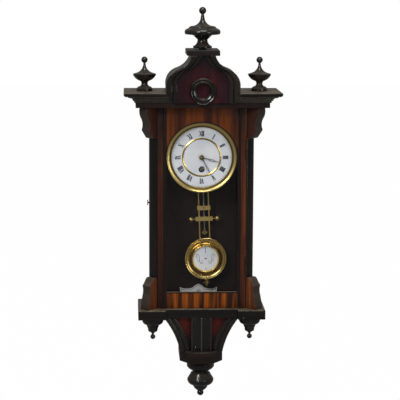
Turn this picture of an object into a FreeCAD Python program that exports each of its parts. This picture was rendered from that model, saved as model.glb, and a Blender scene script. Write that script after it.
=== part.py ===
"""Vienna regulator wall clock, in millimetres.

+X is right, +Y runs to the wall and +Z is up. The origin is the hanging hole, on
the wall plane. A depth is a distance out from the wall, along -Y.
"""
import FreeCAD
import Part
import math
import os

# Shared clearances
overrun = 5.0
running_clearance = 0.05
run_tolerance = 0.001
wood_gap = 0.3
via = True

# Case carcass
case_top_z = 10.0
case_bottom_z = -479.0
backboard_thickness = 14.0
backboard_rise = 23.0
side_thickness = 12.0
side_setback = 12.0
cant_width = 18.0
cant_bulge = 1.6
post_lip_width = 5.0
bottom_board_thickness = 8.0

# Hanging plate
hanging_hole_radius = 6.0
hanging_plate_width = 64.0
hanging_plate_height = 30.0
hanging_plate_thickness = 2.5
hanging_pocket_depth = 8.0
hanging_pocket_radius = 9.5

# Door
door_thickness = 18.0
door_hand_room = 0.3
door_clearance = 0.7
stile_width = 20.0
door_rail_height = 38.0
door_closing_bevel = 1.2
opening_margin = 1.5
rail_joint_inset = 3.0
glass_thickness = 2.0
glass_rebate = 5.0
glass_setback = 3.0
bead_width = 2.4
bead_depth = 6.0
bead_proud = 0.8
stile_bead_radius = 2.6
stile_bead_inset = 3.4
hinge_axis_proud = 2.9
hinge_knuckle_radius = 2.6
hinge_pin_radius = 1.2
hinge_leaf_thickness = 0.9
hinge_clear = 0.15
hinge_leaf_reach = 15.0
hinge_knuckle_length = 14.0
hinge_knuckles = 3
hinge_z_from_centre = 140.0

# Door latch on the left side
latch_z = -225.0
latch_side_setback = 9.0
latch_shaft_radius = 1.8
latch_wing_height = 13.0
latch_wing_thickness = 2.2
latch_wing_stand_off = 3.0
latch_hook_length = 18.5
latch_hook_width = 4.6
latch_hook_thickness = 2.0
latch_barb_drop = 6.0
latch_barb_length = 2.4
latch_hook_inset = 28.3
staple_wire_radius = 1.1
staple_half_width = 2.7
staple_bar_setback = 7.0
staple_bar_drop = 4.0
staple_leg_bite = 6.0

# Cornice
top_board_overhang = 61.0
top_board_thickness = 8.5
top_board_nose_radius = 6.5
cove_height = 15.5
case_lid_overhang = 33.0
case_lid_thickness = 12.0
cove_strip_width = 22.0
cove_shares = (
    (0.04, 0.0), (0.12, 0.07), (0.12, 0.3), (0.24, 0.34), (0.24, 0.52), (0.34, 0.72, via), (0.62, 0.86),
    (0.66, 1.0),
)

# Pediment
pediment_half_width = 86.5
pediment_waist_half_width = 28.5
pediment_shares = ((1.0, 0.13), (0.92, 0.42, via), (0.56, 0.62), (0.16, 0.8, via), (0.0, 1.0))
pediment_height = 87.0
pediment_rear_depth = 60.0
pediment_front_overhang = 40.0
pediment_panel_thickness = 12.0
pediment_wall = 9.0
pediment_moulding_width = 26.0
pediment_moulding_proud = 12.0
pediment_band_share = 0.55
pediment_bead_proud = 6.0
moulding_step = 2.0
cap_half_width = 38.5
cap_thickness = 12.5
cap_overhang = 12.0
roundel_radius = 31.5
roundel_hole_radius = 15.7
roundel_proud = 14.0
roundel_z = 50.0
roundel_ring_shares = ((1.0, 0.35), (0.9, 0.75), (0.78, 0.62), (0.72, 0.95), (0.6, 0.85), (0.5, 0.3))

# Turned finials: shares of the greatest radius and of the height
top_finial_radius = 42.4
top_finial_height = 99.0
top_finial_ball_radius = 8.6
top_finial_shares = (
    (0.21, 0.0), (0.21, 0.025), (0.52, 0.03), (0.53, 0.075), (0.31, 0.16, via), (0.28, 0.23),
    (0.53, 0.335), (0.95, 0.355), (1.0, 0.41, via), (0.93, 0.47), (0.75, 0.51), (0.74, 0.53), (0.62, 0.55),
    (0.25, 0.615, via), (0.12, 0.71), (0.075, 0.84),
)
side_finial_radius = 27.5
side_finial_height = 81.5
side_finial_ball_radius = 7.6
side_finial_x = 136.5
side_finial_depth = 92.0
side_finial_shares = (
    (0.7, 0.0), (0.7, 0.08), (0.52, 0.135), (0.27, 0.23, via), (0.38, 0.295), (0.76, 0.365, via),
    (0.98, 0.465), (1.0, 0.5), (0.72, 0.53), (0.27, 0.63, via), (0.11, 0.76), (0.1, 0.82),
)
bottom_finial_radius = 33.6
bottom_finial_height = 85.5
bottom_finial_ball_radius = 8.0
bottom_finial_depth = 75.0
bottom_finial_shares = (
    (0.95, 0.0), (1.0, 0.035), (1.0, 0.11), (0.86, 0.18, via), (0.5, 0.235), (0.46, 0.27), (0.7, 0.31),
    (0.76, 0.36), (0.96, 0.49), (0.93, 0.57, via), (0.6, 0.665), (0.56, 0.68), (0.42, 0.78, via),
    (0.2, 0.845),
)
drop_radius = 25.7
drop_height = 54.6
drop_ball_radius = 6.2
drop_x = 117.5
drop_depth = 105.0
drop_shares = (
    (1.0, 0.0), (1.0, 0.15), (0.93, 0.24, via), (0.72, 0.315), (0.6, 0.34), (0.58, 0.38), (0.45, 0.53),
    (0.46, 0.58), (0.4, 0.635), (0.2, 0.69), (0.11, 0.74), (0.1, 0.77),
)

# Scalloped brackets across the canted corners: shares of reach and height
bracket_thickness = 25.0
upper_bracket_reach = 34.0
upper_bracket_height = 75.0
upper_bracket_shares = (
    (1.0, 0.0), (1.03, 0.07), (1.02, 0.2, via), (0.84, 0.37), (0.73, 0.49, via), (0.72, 0.62),
    (0.81, 0.73), (0.4, 0.97), (0.3, 1.0), (0.0, 1.0),
)
lower_bracket_reach = 29.0
lower_bracket_height = 76.0
lower_bracket_shares = (
    (1.05, 0.0), (1.07, 0.1), (1.0, 0.24, via), (0.88, 0.44), (0.8, 0.6, via), (0.88, 0.76),
    (0.68, 0.84, via), (0.5, 0.95), (0.34, 1.0), (0.0, 1.0),
)

# Plinth
plinth_overhang = 28.0
plinth_thickness = 22.0
plinth_block_overhang = 30.0
plinth_centre_overhang = 11.0

# Console under the plinth
console_half_width = 91.5
console_waist_half_width = 52.0
console_waist_drop = 82.0
console_curve_share = 0.6
console_curve_drop_share = 0.45
console_front_setback = 2.0
console_panel_thickness = 12.0
console_side_thickness = 10.0
console_moulding_width = 12.5
console_moulding_proud = 8.0
console_bead_width = 13.5
console_bead_proud = 4.0
console_height = 84.0
pilaster_half_width = 24.0
pilaster_proud = 14.0
pilaster_flute_depth = 4.0
pilaster_ridge_half_width = 2.4
block_height = 26.5
block_taper_height = 10.0
block_front_half_width = 28.0
block_overhang = 15.0
block_cant_depth = 32.0
block_foot_half_width = 30.0

# Going movement
dial_z = -113.0
plate_half_width = 37.0
plate_top_z = -58.0
plate_bottom_z = -177.0
back_plate_depth = 52.0
plate_thickness = 2.5
plate_gap = 23.5
pillar_radius = 3.2
pillar_inset = 6.0
pivot_radius = 0.9
arbor_radius = 1.5
third_arbor_radius = 1.1
winding_drop = 29.0
pendulum_z = -70.0
escape_drop = 19.5
bracket_arm_half_spacing = 31.0
bracket_arm_width = 6.0
bracket_arm_thickness = 3.0
bracket_foot_height = 26.0
bracket_arm_z = -140.0

# Wheels: the train gives 6720 beats an hour
tooth_share = 0.40
tooth_root_share = 1.25
tooth_tip_share = 0.5
leaf_share = 0.33
addendum_share = 0.95
dedendum_share = 1.3
wheel_thickness = 1.5
wheel_rim = 3.2
wheel_spoke_width = 3.0
wheel_spokes = 4
first_spoke_angle = 45.0
wheel_hub_radius = 3.6
great_teeth = 64
centre_leaves = 8
centre_teeth = 72
third_leaves = 6
third_teeth = 56
escape_leaves = 6
centre_third_distance = 23.4
third_escape_distance = 17.36
escape_teeth = 30
escape_radius = 14.5
escape_tooth_depth = 3.0
escape_tooth_lean_share = 0.45
escape_tooth_tip_share = 0.07
escape_tooth_back_share = 0.35
barrel_radius = 22.5
barrel_length = 12.0
barrel_wall = 1.2
winding_arbor_radius = 3.0
winding_square = 4.4
ratchet_teeth = 20
ratchet_radius = 11.0
ratchet_tooth_depth = 1.6
click_clearance = 0.3
click_length = 12.0
click_width = 3.6
click_heel_share = 1 / 3
great_layer = 2.0
third_layer = 12.5
centre_layer = 19.0
escape_layer = 5.0

# Anchor and crutch
anchor_thickness = 1.8
anchor_inner_radius = 11.6
anchor_outer_radius = 14.4
anchor_end_angle = 54.0
anchor_shoulder_angle = 80.0
anchor_hub_radius = 4.4
anchor_back_shares = (0.62, 0.55)
anchor_belly_shares = (0.6, 0.15)
anchor_root_shares = (0.8, 0.6)
cock_stand_off = 8.0
cock_thickness = 2.4
cock_half_width = 17.0
cock_bar_half_height = 4.0
crutch_length = 42.0
crutch_width = 3.2
crutch_thickness = 1.4
crutch_stand_off = 3.0
fork_tine_width = 2.0
fork_height = 4.0

# Motion work
cannon_leaves = 10
minute_teeth = 30
minute_leaves = 8
hour_teeth = 32
motion_distance = 14.0
motion_angle = 45.0
motion_stand_off = 0.8
motion_thickness = 1.2
motion_layer_gap = 0.6
cannon_radius = 2.6
hour_pipe_radius = 4.0

# Dial
dial_plate_radius = 83.0
dial_plate_thickness = 1.0
dial_plate_stand_off = 5.0
dial_foot_radius = 2.0
dial_foot_x = 28.0
dial_foot_z = 34.0
chapter_radius = 73.0
chapter_thickness = 1.8
inner_ring_radius = 47.4
inner_ring_width = 4.4
inner_ring_proud = 0.8
dial_centre_thickness = 1.2
dial_hole_radius = 4.6
bezel_radius = 85.5
bezel_height = 5.0
bezel_lip = 1.2
bezel_lip_shares = ((5.0, 1.5, via), (3.0, 0.5), (1.5, 0.0, via), (0.0, 1.5))
enamel_clearance = 0.1
ferrule_radius = 7.5
ferrule_hole_radius = 5.0
ferrule_proud = 1.0

# Hands: angles clockwise from twelve
hour_hand_angle = 106.0
minute_hand_angle = 152.0
hour_hand_length = 50.0
minute_hand_length = 66.0
hand_thickness = 0.8
hand_gap = 0.5
hour_collet_radius = 5.8
minute_collet_radius = 4.2
hour_blade_shares = ((0.12, 0.022), (0.3, 0.015), (0.42, 0.046), (0.55, 0.052), (0.68, 0.017), (1.0, 0.006))
hour_piercing_shares = ((0.36, 0.006), (0.43, 0.027), (0.54, 0.031), (0.63, 0.006))
minute_blade_shares = ((0.08, 0.015), (0.3, 0.01), (0.4, 0.027), (0.48, 0.031), (0.58, 0.01), (1.0, 0.004))
minute_piercing_shares = ((0.355, 0.003), (0.41, 0.015), (0.48, 0.018), (0.545, 0.003))

# Pendulum
pendulum_setback = 16.0
pendulum_lean = 2.4
suspension_width = 8.0
suspension_thickness = 0.4
suspension_length = 14.0
suspension_grip = 4.0
suspension_slot = 1.4
chap_half_width = 5.0
chap_height = 9.0
chap_thickness = 9.0
centre_rod_radius = 2.0
outer_rod_radius = 1.8
outer_rod_x = 12.0
head_bar_drop = 66.0
cross_plate_thickness = 2.4
upper_cross_drop = 171.3
upper_cross_half_width = 16.0
upper_cross_height = 10.2
lower_cross_drop = 198.0
lower_cross_half_width = 20.6
lower_cross_height = 10.4
cross_hole_radius = 2.2
knob_radius = 6.2
knob_x = 32.0
knob_stem_radius = 1.1
arrow_drop = 232.0
arrow_half_width = 8.0
arrow_half_height = 6.0
bob_drop = 297.0
bob_radius = 52.0
bob_dish_radius = 29.5
bob_half_thickness = 9.5
bob_dish_setback = 7.0
bob_enamel_thickness = 1.6
bob_rear_shares = ((0.0, -0.8), (0.57, -1.0), (0.86, -0.9, via), (0.95, -0.12))
bob_front_shares = (
    (0.955, -0.12), (1.0, 0.22, via), (0.965, 0.55), (0.93, 0.5), (0.8, 0.12, via), (0.66, 0.85),
    (0.63, 1.0, via), (0.6, 0.8),
)
rating_screw_radius = 1.6
rating_screw_length = 16.0
rating_nut_radius = 9.0
rating_nut_height = 5.0
rating_nut_gap = 5.0
rating_nut_shares = ((0.4, 0.0), (0.45, 0.5), (1.0, 1.0), (1.0, 1.8), (0.5, 2.2))

# Beat scale
beat_scale_thickness = 2.0
beat_scale_x = -4.2
beat_scale_half_width = 46.0
beat_scale_body_half_width = 42.5
beat_scale_top_z = -433.0
beat_scale_tip_drop = 8.0
beat_scale_shares = ((0.0, 0.0), (0.12, 0.3, via), (0.3, 1.15), (0.7, 1.5, via), (1.0, 1.0))
beat_scale_height = 34.0
beat_scale_hole_radius = 2.8
beat_scale_hole_drop = 20.0

nodes = {}


def vec(x, depth, z):
    """A point at x, out from the wall by depth, at height z."""
    return FreeCAD.Vector(x, -depth, z)


def plan(z):
    """Places outline points (x, depth) level at height z."""
    return lambda u, v: vec(u, v, z)


def front(depth):
    """Places outline points (x, z) upright at a depth."""
    return lambda u, v: vec(u, depth, v)


def side(x):
    """Places outline points (depth, z) upright at a distance x."""
    return lambda u, v: vec(x, u, v)


def wire(points, place):
    """Joins points into a closed wire. A third value, via, marks a point that an arc passes through."""
    spots = [(place(p[0], p[1]), len(p) > 2) for p in points]
    spots.append(spots[0])
    edges = []
    start, middle = spots[0][0], None
    for spot, is_middle in spots[1:]:
        if is_middle:
            middle = spot
            continue
        if middle:
            edges.append(Part.Arc(start, middle, spot).toShape())
        elif (spot - start).Length > run_tolerance:
            edges.append(Part.LineSegment(start, spot).toShape())
        start, middle = spot, None
    return Part.Wire(edges)


def face(points, place):
    """A flat face inside a closed outline."""
    return Part.Face(wire(points, place))


def outward(length):
    """A move out from the wall."""
    return FreeCAD.Vector(0, -length, 0)


def upward(length):
    """A move up."""
    return FreeCAD.Vector(0, 0, length)


def rightward(length):
    """A move to the right."""
    return FreeCAD.Vector(length, 0, 0)


def board(x0, x1, depth0, depth1, z0, z1):
    """A square-edged board between two corners."""
    return Part.makeBox(x1 - x0, depth1 - depth0, z1 - z0, vec(x0, depth1, z0))


def rod(radius, start, end):
    """A round bar from one point to another."""
    return Part.makeCylinder(radius, (end - start).Length, start, end - start)


def tube(outer, inner, start, end):
    """A round bar with a bore."""
    return rod(outer, start, end).cut(rod(inner, start, end))


def mirrored(shape):
    """The same piece on the other side of the clock's middle plane."""
    return shape.mirror(FreeCAD.Vector(0, 0, 0), FreeCAD.Vector(1, 0, 0))


def pair(shape):
    """A left and a right piece, as separate solids."""
    return Part.makeCompound([shape, mirrored(shape)])


def joined(shapes):
    """One solid from touching pieces."""
    whole = shapes[0].fuse(shapes[1:])
    return whole.removeSplitter()


def turned(points, x, depth, z, direction):
    """A piece turned about an axis. Points are (radius, distance along the direction)."""
    profile = [(0, points[0][1])] + list(points)
    if points[-1][0] > 0:
        profile.append((0, points[-1][1]))
    blank = face(profile, lambda r, h: FreeCAD.Vector(r, 0, h))
    solid = blank.revolve(FreeCAD.Vector(0, 0, 0), FreeCAD.Vector(0, 0, 1), 360)
    turn = FreeCAD.Rotation(FreeCAD.Vector(0, 0, 1), direction)
    solid.Placement = FreeCAD.Placement(vec(x, depth, z), turn)
    return solid


def turned_ring(points, x, depth, z, direction):
    """A ring turned about an axis from a closed section of (radius, distance along) points."""
    blank = face(points, lambda r, h: FreeCAD.Vector(r, 0, h))
    solid = blank.revolve(FreeCAD.Vector(0, 0, 0), FreeCAD.Vector(0, 0, 1), 360)
    turn = FreeCAD.Rotation(FreeCAD.Vector(0, 0, 1), direction)
    solid.Placement = FreeCAD.Placement(vec(x, depth, z), turn)
    return solid


def finial(x, depth, z, radius, height, ball_radius, shares, direction):
    """A turned finial with a ball on its tip, from shares of its radius and height."""
    points = [(s[0] * radius, s[1] * height) + tuple(s[2:]) for s in shares]
    neck = points[-1][0]
    ball_centre = height - ball_radius
    points.append((neck, ball_centre - math.sqrt(ball_radius ** 2 - neck ** 2)))
    points.append((ball_radius, ball_centre, via))
    points.append((0, height))
    return turned(points, x, depth, z, direction)


def keep(name, shape):
    """Names a finished piece."""
    nodes[name] = shape


up = FreeCAD.Vector(0, 0, 1)
down = FreeCAD.Vector(0, 0, -1)
out = FreeCAD.Vector(0, -1, 0)

# Places that several assemblies share
opening_half_width = bezel_radius + opening_margin
post_half_width = opening_half_width + stile_width
case_half_width = post_half_width + cant_width
front_plate_depth = back_plate_depth + plate_thickness + plate_gap
inside_depth = back_plate_depth + plate_thickness
front_face_depth = front_plate_depth + plate_thickness
pendulum_depth = back_plate_depth - pendulum_setback
dial_depth = front_face_depth + dial_plate_stand_off + dial_plate_thickness
hour_hand_rear = dial_depth + chapter_thickness + inner_ring_proud + hand_gap
minute_hand_rear = hour_hand_rear + hand_thickness + hand_gap
door_rear_depth = minute_hand_rear + hand_thickness + door_hand_room
side_depth = door_rear_depth - side_setback
latch_depth = side_depth - latch_side_setback
front_depth = door_rear_depth + door_thickness
lid_bottom_z = case_top_z + wood_gap
lid_top_z = lid_bottom_z + case_lid_thickness
board_bottom_z = lid_top_z + cove_height
cornice_top_z = board_bottom_z + top_board_thickness
door_half_width = post_half_width - door_clearance
hinge_depth = front_depth + hinge_axis_proud
hinge_x = post_half_width - door_clearance / 2
opening_bottom_z = case_bottom_z + door_rail_height
pediment_front_depth = front_depth + pediment_front_overhang
plinth_half_width = case_half_width + plinth_overhang
plinth_block_depth = front_depth + plinth_block_overhang
plinth_centre_depth = front_depth + plinth_centre_overhang
console_front = front_depth - console_front_setback
block_front_depth = front_depth + block_overhang
plinth_bottom_z = case_bottom_z - plinth_thickness
console_bottom_z = plinth_bottom_z - console_height
block_bottom_z = console_bottom_z - block_height - block_taper_height


def console_outline(half, waist, bottom_z, inset):
    """The console's front outline: concave sides that sweep in below the plinth."""
    curve_x = waist + (half - waist) * (1 - console_curve_share)
    curve_z = plinth_bottom_z - console_waist_drop * console_curve_drop_share
    waist_z = plinth_bottom_z - console_waist_drop
    left = [(-half + inset, plinth_bottom_z), (-curve_x + inset, curve_z, via), (-waist + inset, waist_z)]
    right = [(-p[0], p[1]) + tuple(p[2:]) for p in reversed(left)]
    return left + [(-waist + inset, bottom_z), (waist - inset, bottom_z)] + right


def carcass():
    """Backboard, sides, canted corner posts, bottom board and the plate that the clock hangs by."""
    back_top_z = case_top_z + backboard_rise
    back = board(-case_half_width, case_half_width, 0, backboard_thickness, case_bottom_z, back_top_z)
    plate_half = hanging_plate_width / 2
    plate_low = -hanging_plate_height / 2
    plate = board(-plate_half, plate_half, 0, hanging_plate_thickness, plate_low, -plate_low)
    pocket = rod(hanging_pocket_radius, vec(0, 0, 0), vec(0, hanging_pocket_depth, 0))
    hole = rod(hanging_hole_radius, vec(0, -overrun, 0), vec(0, hanging_pocket_depth, 0))
    keep("hanging_plate", plate.cut(hole))
    console = face(console_outline(console_half_width, console_waist_half_width, console_bottom_z, 0),
                   front(0))
    tail = board(-console_half_width, console_half_width, 0, backboard_thickness, plinth_bottom_z,
                 case_bottom_z)
    back = joined([back, tail, console.extrude(outward(backboard_thickness))])
    keep("backboard", back.cut(plate).cut(pocket))

    side_board = board(case_half_width - side_thickness, case_half_width,
                       backboard_thickness, side_depth, case_bottom_z, case_top_z)
    shaft_hole = rod(latch_shaft_radius + running_clearance,
                     vec(-case_half_width - overrun, latch_depth, latch_z), vec(0, latch_depth, latch_z))
    keep("case_sides", Part.makeCompound([side_board, mirrored(side_board).cut(shaft_hole)]))

    lip_x = post_half_width - post_lip_width
    cant_middle = cant_bulge / math.sqrt(2)
    section = [
        (lip_x, side_depth), (case_half_width, side_depth), (case_half_width, door_rear_depth),
        ((case_half_width + post_half_width) / 2 + cant_middle,
         (door_rear_depth + front_depth) / 2 + cant_middle, via),
        (post_half_width, front_depth), (post_half_width, door_rear_depth - wood_gap),
        (lip_x, door_rear_depth - wood_gap),
    ]
    post = face(section, plan(case_bottom_z)).extrude(upward(case_top_z - case_bottom_z))
    recesses = [hinge_leaf(hinge_z, 1) for hinge_z in hinge_heights()]
    keep("corner_posts", Part.makeCompound([post.cut(recesses), mirrored(post)]))

    inside = case_half_width - side_thickness
    keep("bottom_board", board(-inside, inside, backboard_thickness, side_depth,
                               case_bottom_z, case_bottom_z + bottom_board_thickness))


def hinge_heights():
    """Heights of the two hinges' middles."""
    middle = (case_top_z + case_bottom_z) / 2
    return (middle - hinge_z_from_centre, middle + hinge_z_from_centre)


def hinge_leaf(z, sign):
    """A hinge leaf let into the post (sign 1) or the door's edge (sign -1)."""
    gap = door_clearance / 2 - hinge_clear
    near = hinge_x + sign * gap
    far = near + sign * hinge_leaf_thickness
    half = hinge_knuckles * hinge_knuckle_length / 2
    return board(min(near, far), max(near, far), front_depth - hinge_leaf_reach, hinge_depth, z - half,
                 z + half)


def hinges():
    """Two butt hinges: outer knuckles and a leaf on the post, a middle knuckle and a leaf on the door."""
    post_side, door_side, pins = [], [], []
    half = hinge_knuckles * hinge_knuckle_length / 2
    for z in hinge_heights():
        low = z - hinge_knuckle_length / 2
        high = z + hinge_knuckle_length / 2
        bore = rod(hinge_pin_radius + running_clearance, vec(hinge_x, hinge_depth, z - half - overrun),
                   vec(hinge_x, hinge_depth, z + half + overrun))
        middle_slot = board(hinge_x - hinge_knuckle_radius - overrun,
                            hinge_x + hinge_knuckle_radius + overrun,
                            front_depth + running_clearance, hinge_depth + hinge_knuckle_radius + overrun,
                            low - wood_gap, high + wood_gap)
        outer = joined([
            hinge_leaf(z, 1),
            rod(hinge_knuckle_radius, vec(hinge_x, hinge_depth, z - half),
                vec(hinge_x, hinge_depth, z + half)),
        ])
        post_side.append(outer.cut(middle_slot).cut(bore))
        knuckle = rod(hinge_knuckle_radius, vec(hinge_x, hinge_depth, low), vec(hinge_x, hinge_depth, high))
        leaf_ends = [
            board(hinge_x - hinge_knuckle_radius - overrun, hinge_x + overrun, front_depth,
                  hinge_depth + overrun, z - half - overrun, low),
            board(hinge_x - hinge_knuckle_radius - overrun, hinge_x + overrun, front_depth,
                  hinge_depth + overrun, high, z + half + overrun),
        ]
        door_side.append(joined([hinge_leaf(z, -1).cut(leaf_ends), knuckle]).cut(bore))
        pins.append(rod(hinge_pin_radius, vec(hinge_x, hinge_depth, z - half),
                        vec(hinge_x, hinge_depth, z + half)))
    keep("case_hinges", Part.makeCompound(post_side + pins))
    keep("door_hinges", Part.makeCompound(door_side))


def opening_outline(grow):
    """The door's arched opening, grown outwards by an amount. Its arch is centred on the dial."""
    half = opening_half_width + grow
    return [(-half, opening_bottom_z - grow), (-half, dial_z), (0, dial_z + half, via), (half, dial_z),
            (half, opening_bottom_z - grow)]


def opening_block(grow, depth0, depth1):
    """A block that fills the door's opening between two depths."""
    return face(opening_outline(grow), front(depth0)).extrude(outward(depth1 - depth0))


def door():
    """Framed door with an arched opening, its pane, the bead in front of it and the fillet behind it."""
    low, high = case_bottom_z + door_clearance, case_top_z - door_clearance
    glass_rear = door_rear_depth + glass_setback
    glass_front = glass_rear + glass_thickness
    rear_left = -door_half_width + door_closing_bevel
    outline = [(rear_left, door_rear_depth), (-door_half_width, front_depth), (door_half_width, front_depth),
               (door_half_width, door_rear_depth)]
    frame = face(outline, plan(low)).extrude(upward(high - low))
    frame = frame.cut(opening_block(0, door_rear_depth - overrun, front_depth + overrun))
    frame = frame.cut(opening_block(glass_rebate, door_rear_depth - overrun, glass_front))
    frame = frame.cut([hinge_leaf(z, -1) for z in hinge_heights()])
    staple = latch_staple()
    frame = frame.cut(staple)
    joint_x = opening_half_width - rail_joint_inset
    upper = board(-joint_x, joint_x, door_rear_depth, front_depth, dial_z, high)
    lower = board(-opening_half_width, opening_half_width, door_rear_depth, front_depth, low,
                  opening_bottom_z)
    keep("door_rails", Part.makeCompound([frame.common(upper), frame.common(lower)]))
    keep("door_stiles", frame.cut([upper, lower]))
    keep("latch_staple", staple)
    pane_inset = glass_rebate - wood_gap
    keep("door_glass", opening_block(pane_inset, glass_rear, glass_front))
    fillet = opening_block(pane_inset, door_rear_depth, glass_rear)
    fillet = fillet.cut(opening_block(0, door_rear_depth - overrun, glass_rear + overrun))
    bead_rear = front_depth - bead_depth
    bead = opening_block(0, bead_rear, front_depth + bead_proud)
    bead = bead.cut(opening_block(-bead_width, bead_rear - overrun, front_depth + overrun))
    bead_x = opening_half_width + stile_bead_inset
    radius = stile_bead_radius
    section = [(bead_x - radius, front_depth), (bead_x, front_depth + radius, via),
               (bead_x + radius, front_depth)]
    stile_bead = face(section, plan(low)).extrude(upward(high - low))
    keep("door_beads", Part.makeCompound([bead, fillet, stile_bead, mirrored(stile_bead)]))


def latch_staple():
    """The wire staple on the door's rear that the latch hooks over."""
    x = -(case_half_width - latch_hook_inset)
    bar_depth = door_rear_depth - staple_bar_setback
    bar_z = latch_z - staple_bar_drop
    ends = [x - staple_half_width, x + staple_half_width]
    half = staple_wire_radius
    low, high = bar_z - half, bar_z + half
    leg_end = door_rear_depth + staple_leg_bite
    outline = [
        (ends[0] - half, leg_end), (ends[0] - half, bar_depth), (ends[0], bar_depth - half),
        (ends[1], bar_depth - half), (ends[1] + half, bar_depth), (ends[1] + half, leg_end),
        (ends[1] - half, leg_end), (ends[1] - half, bar_depth + half), (ends[0] + half, bar_depth + half),
        (ends[0] + half, leg_end),
    ]
    return face(outline, plan(low)).extrude(upward(high - low))


def latch():
    """Wing turn on the left side, with a shaft through the side and a hook for the door's staple."""
    wing_x = -case_half_width - latch_wing_stand_off
    hook_x = -(case_half_width - latch_hook_inset)
    shaft = rod(latch_shaft_radius, vec(wing_x, latch_depth, latch_z),
                vec(hook_x + latch_hook_thickness / 2, latch_depth, latch_z))
    half = latch_wing_height / 2
    waist = latch_shaft_radius
    lobe = half / 2
    wing_outline = [
        (latch_depth - waist, latch_z), (latch_depth - lobe, latch_z + lobe, via),
        (latch_depth, latch_z + half),
        (latch_depth + lobe, latch_z + lobe, via), (latch_depth + waist, latch_z),
        (latch_depth + lobe, latch_z - lobe, via), (latch_depth, latch_z - half),
        (latch_depth - lobe, latch_z - lobe, via),
    ]
    wing = face(wing_outline, side(wing_x - latch_wing_thickness)).extrude(rightward(latch_wing_thickness))
    low, high = latch_depth - latch_hook_width / 2, latch_depth + latch_hook_width / 2
    tip_z = latch_z + latch_hook_length
    hook_outline = [
        (low, latch_z), (latch_depth, latch_z - latch_hook_width / 2, via), (high, latch_z),
        (high, tip_z - latch_barb_length), (latch_depth + latch_barb_drop, tip_z - latch_barb_length),
        (latch_depth + latch_barb_drop, tip_z), (low, tip_z),
    ]
    hook_start = hook_x - latch_hook_thickness / 2
    hook = face(hook_outline, side(hook_start)).extrude(rightward(latch_hook_thickness))
    keep("door_latch", joined([shaft, wing, hook]))


def mitred_runs(profile, rear_depth):
    """A front and two side runs of a moulding round the case top. Points are (offset, height)."""
    reach = max(p[0] for p in profile) + overrun
    inner = case_half_width
    half = inner + reach
    front_face = face([(-p[0] - front_depth, p[1]) for p in profile], lambda u, v: vec(-half, -u, v))
    front_run = front_face.extrude(rightward(2 * half))
    base_z = min(p[1] for p in profile) - overrun
    rise = max(p[1] for p in profile) - base_z + overrun
    wedge = [(-half, front_depth + reach), (half, front_depth + reach), (0, front_depth - inner)]
    front_run = front_run.common(face(wedge, plan(base_z)).extrude(upward(rise)))
    side_face = face([(p[0] + inner, p[1]) for p in profile], front(rear_depth))
    side_run = side_face.extrude(outward(front_depth + reach - rear_depth))
    side_run = side_run.cut(face(wedge, plan(base_z)).extrude(upward(rise)))
    return front_run, side_run


def foot_mitre():
    """The block in front of the case where the pediment and its mouldings come down to the lid."""
    outer = pediment_half_width
    inner = outer - pediment_moulding_width
    outline = [(-outer, cornice_top_z + overrun), (-outer, cornice_top_z), (-inner, lid_bottom_z - overrun),
               (inner, lid_bottom_z - overrun), (outer, cornice_top_z), (outer, cornice_top_z + overrun)]
    reach = front_depth + top_board_overhang + overrun
    return face(outline, front(front_depth - overrun)).extrude(outward(reach - front_depth + overrun))


def on_rim(edge, half, depth, z):
    """True for a board's lower edges at its front and its two ends."""
    box = edge.BoundBox
    low = abs(box.ZMax - z) < run_tolerance
    ends = box.XMin > half - run_tolerance or box.XMax < -half + run_tolerance
    return low and (ends or box.YMax < -depth + run_tolerance)


def cornice():
    """Case lid, coved moulding round three sides and the top board, open in front for the pediment."""
    back = board(-case_half_width, case_half_width, 0, backboard_thickness, case_bottom_z, cornice_top_z)
    lid_half = case_half_width + case_lid_overhang
    lid = board(-lid_half, lid_half, 0, front_depth + case_lid_overhang, lid_bottom_z, lid_top_z)
    keep("case_lid", lid.cut(back))
    step = case_lid_overhang
    bottom, top = lid_top_z, board_bottom_z
    rise = cove_height
    reach = top_board_overhang - case_lid_overhang
    profile = [(step + s[0] * reach, bottom + s[1] * rise) + tuple(s[2:]) for s in cove_shares]
    profile = [(step - cove_strip_width, bottom)] + profile + [(step - cove_strip_width, top)]
    front_run, side_run = mitred_runs(profile, 0)
    mitre = foot_mitre()
    front_run = front_run.cut(mitre)
    keep("cornice_moulding", Part.makeCompound(front_run.Solids + [side_run, mirrored(side_run)]))
    half = case_half_width + top_board_overhang
    top_board = board(-half, half, 0, front_depth + top_board_overhang, board_bottom_z, cornice_top_z)
    reach = front_depth + top_board_overhang
    rim = [edge for edge in top_board.Edges if on_rim(edge, half, reach, board_bottom_z)]
    top_board = top_board.makeFillet(top_board_nose_radius, rim)
    keep("top_board", top_board.cut(mitre))


def ogee_outline(grow, bottom_z):
    """The pediment's bell outline, from a named waist to its full width, shrunk or grown sideways."""
    half, waist, height = pediment_half_width, pediment_waist_half_width, pediment_height
    span = half - waist
    base = cornice_top_z
    right = [(waist + s[0] * span + grow, base + s[1] * height) + tuple(s[2:]) for s in pediment_shares]
    left = [(-p[0], p[1]) + tuple(p[2:]) for p in reversed(right)]
    return [(half + grow, bottom_z)] + right + left + [(-half - grow, bottom_z)]


def ogee_block(grow, depth0, depth1, bottom_z):
    """A block with the pediment's bell outline between two depths."""
    return face(ogee_outline(grow, bottom_z), front(depth0)).extrude(outward(depth1 - depth0))


def stepped_band(outline_block, inset, width, rear, top):
    """A raised band along an outline, with a lower step down each of its edges."""
    step = moulding_step
    low = outline_block(inset, rear, top - step).cut(outline_block(inset + width, 0, top))
    high = outline_block(inset + step, rear, top).cut(outline_block(inset + width - step, 0, top + overrun))
    return joined([low, high])


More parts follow.
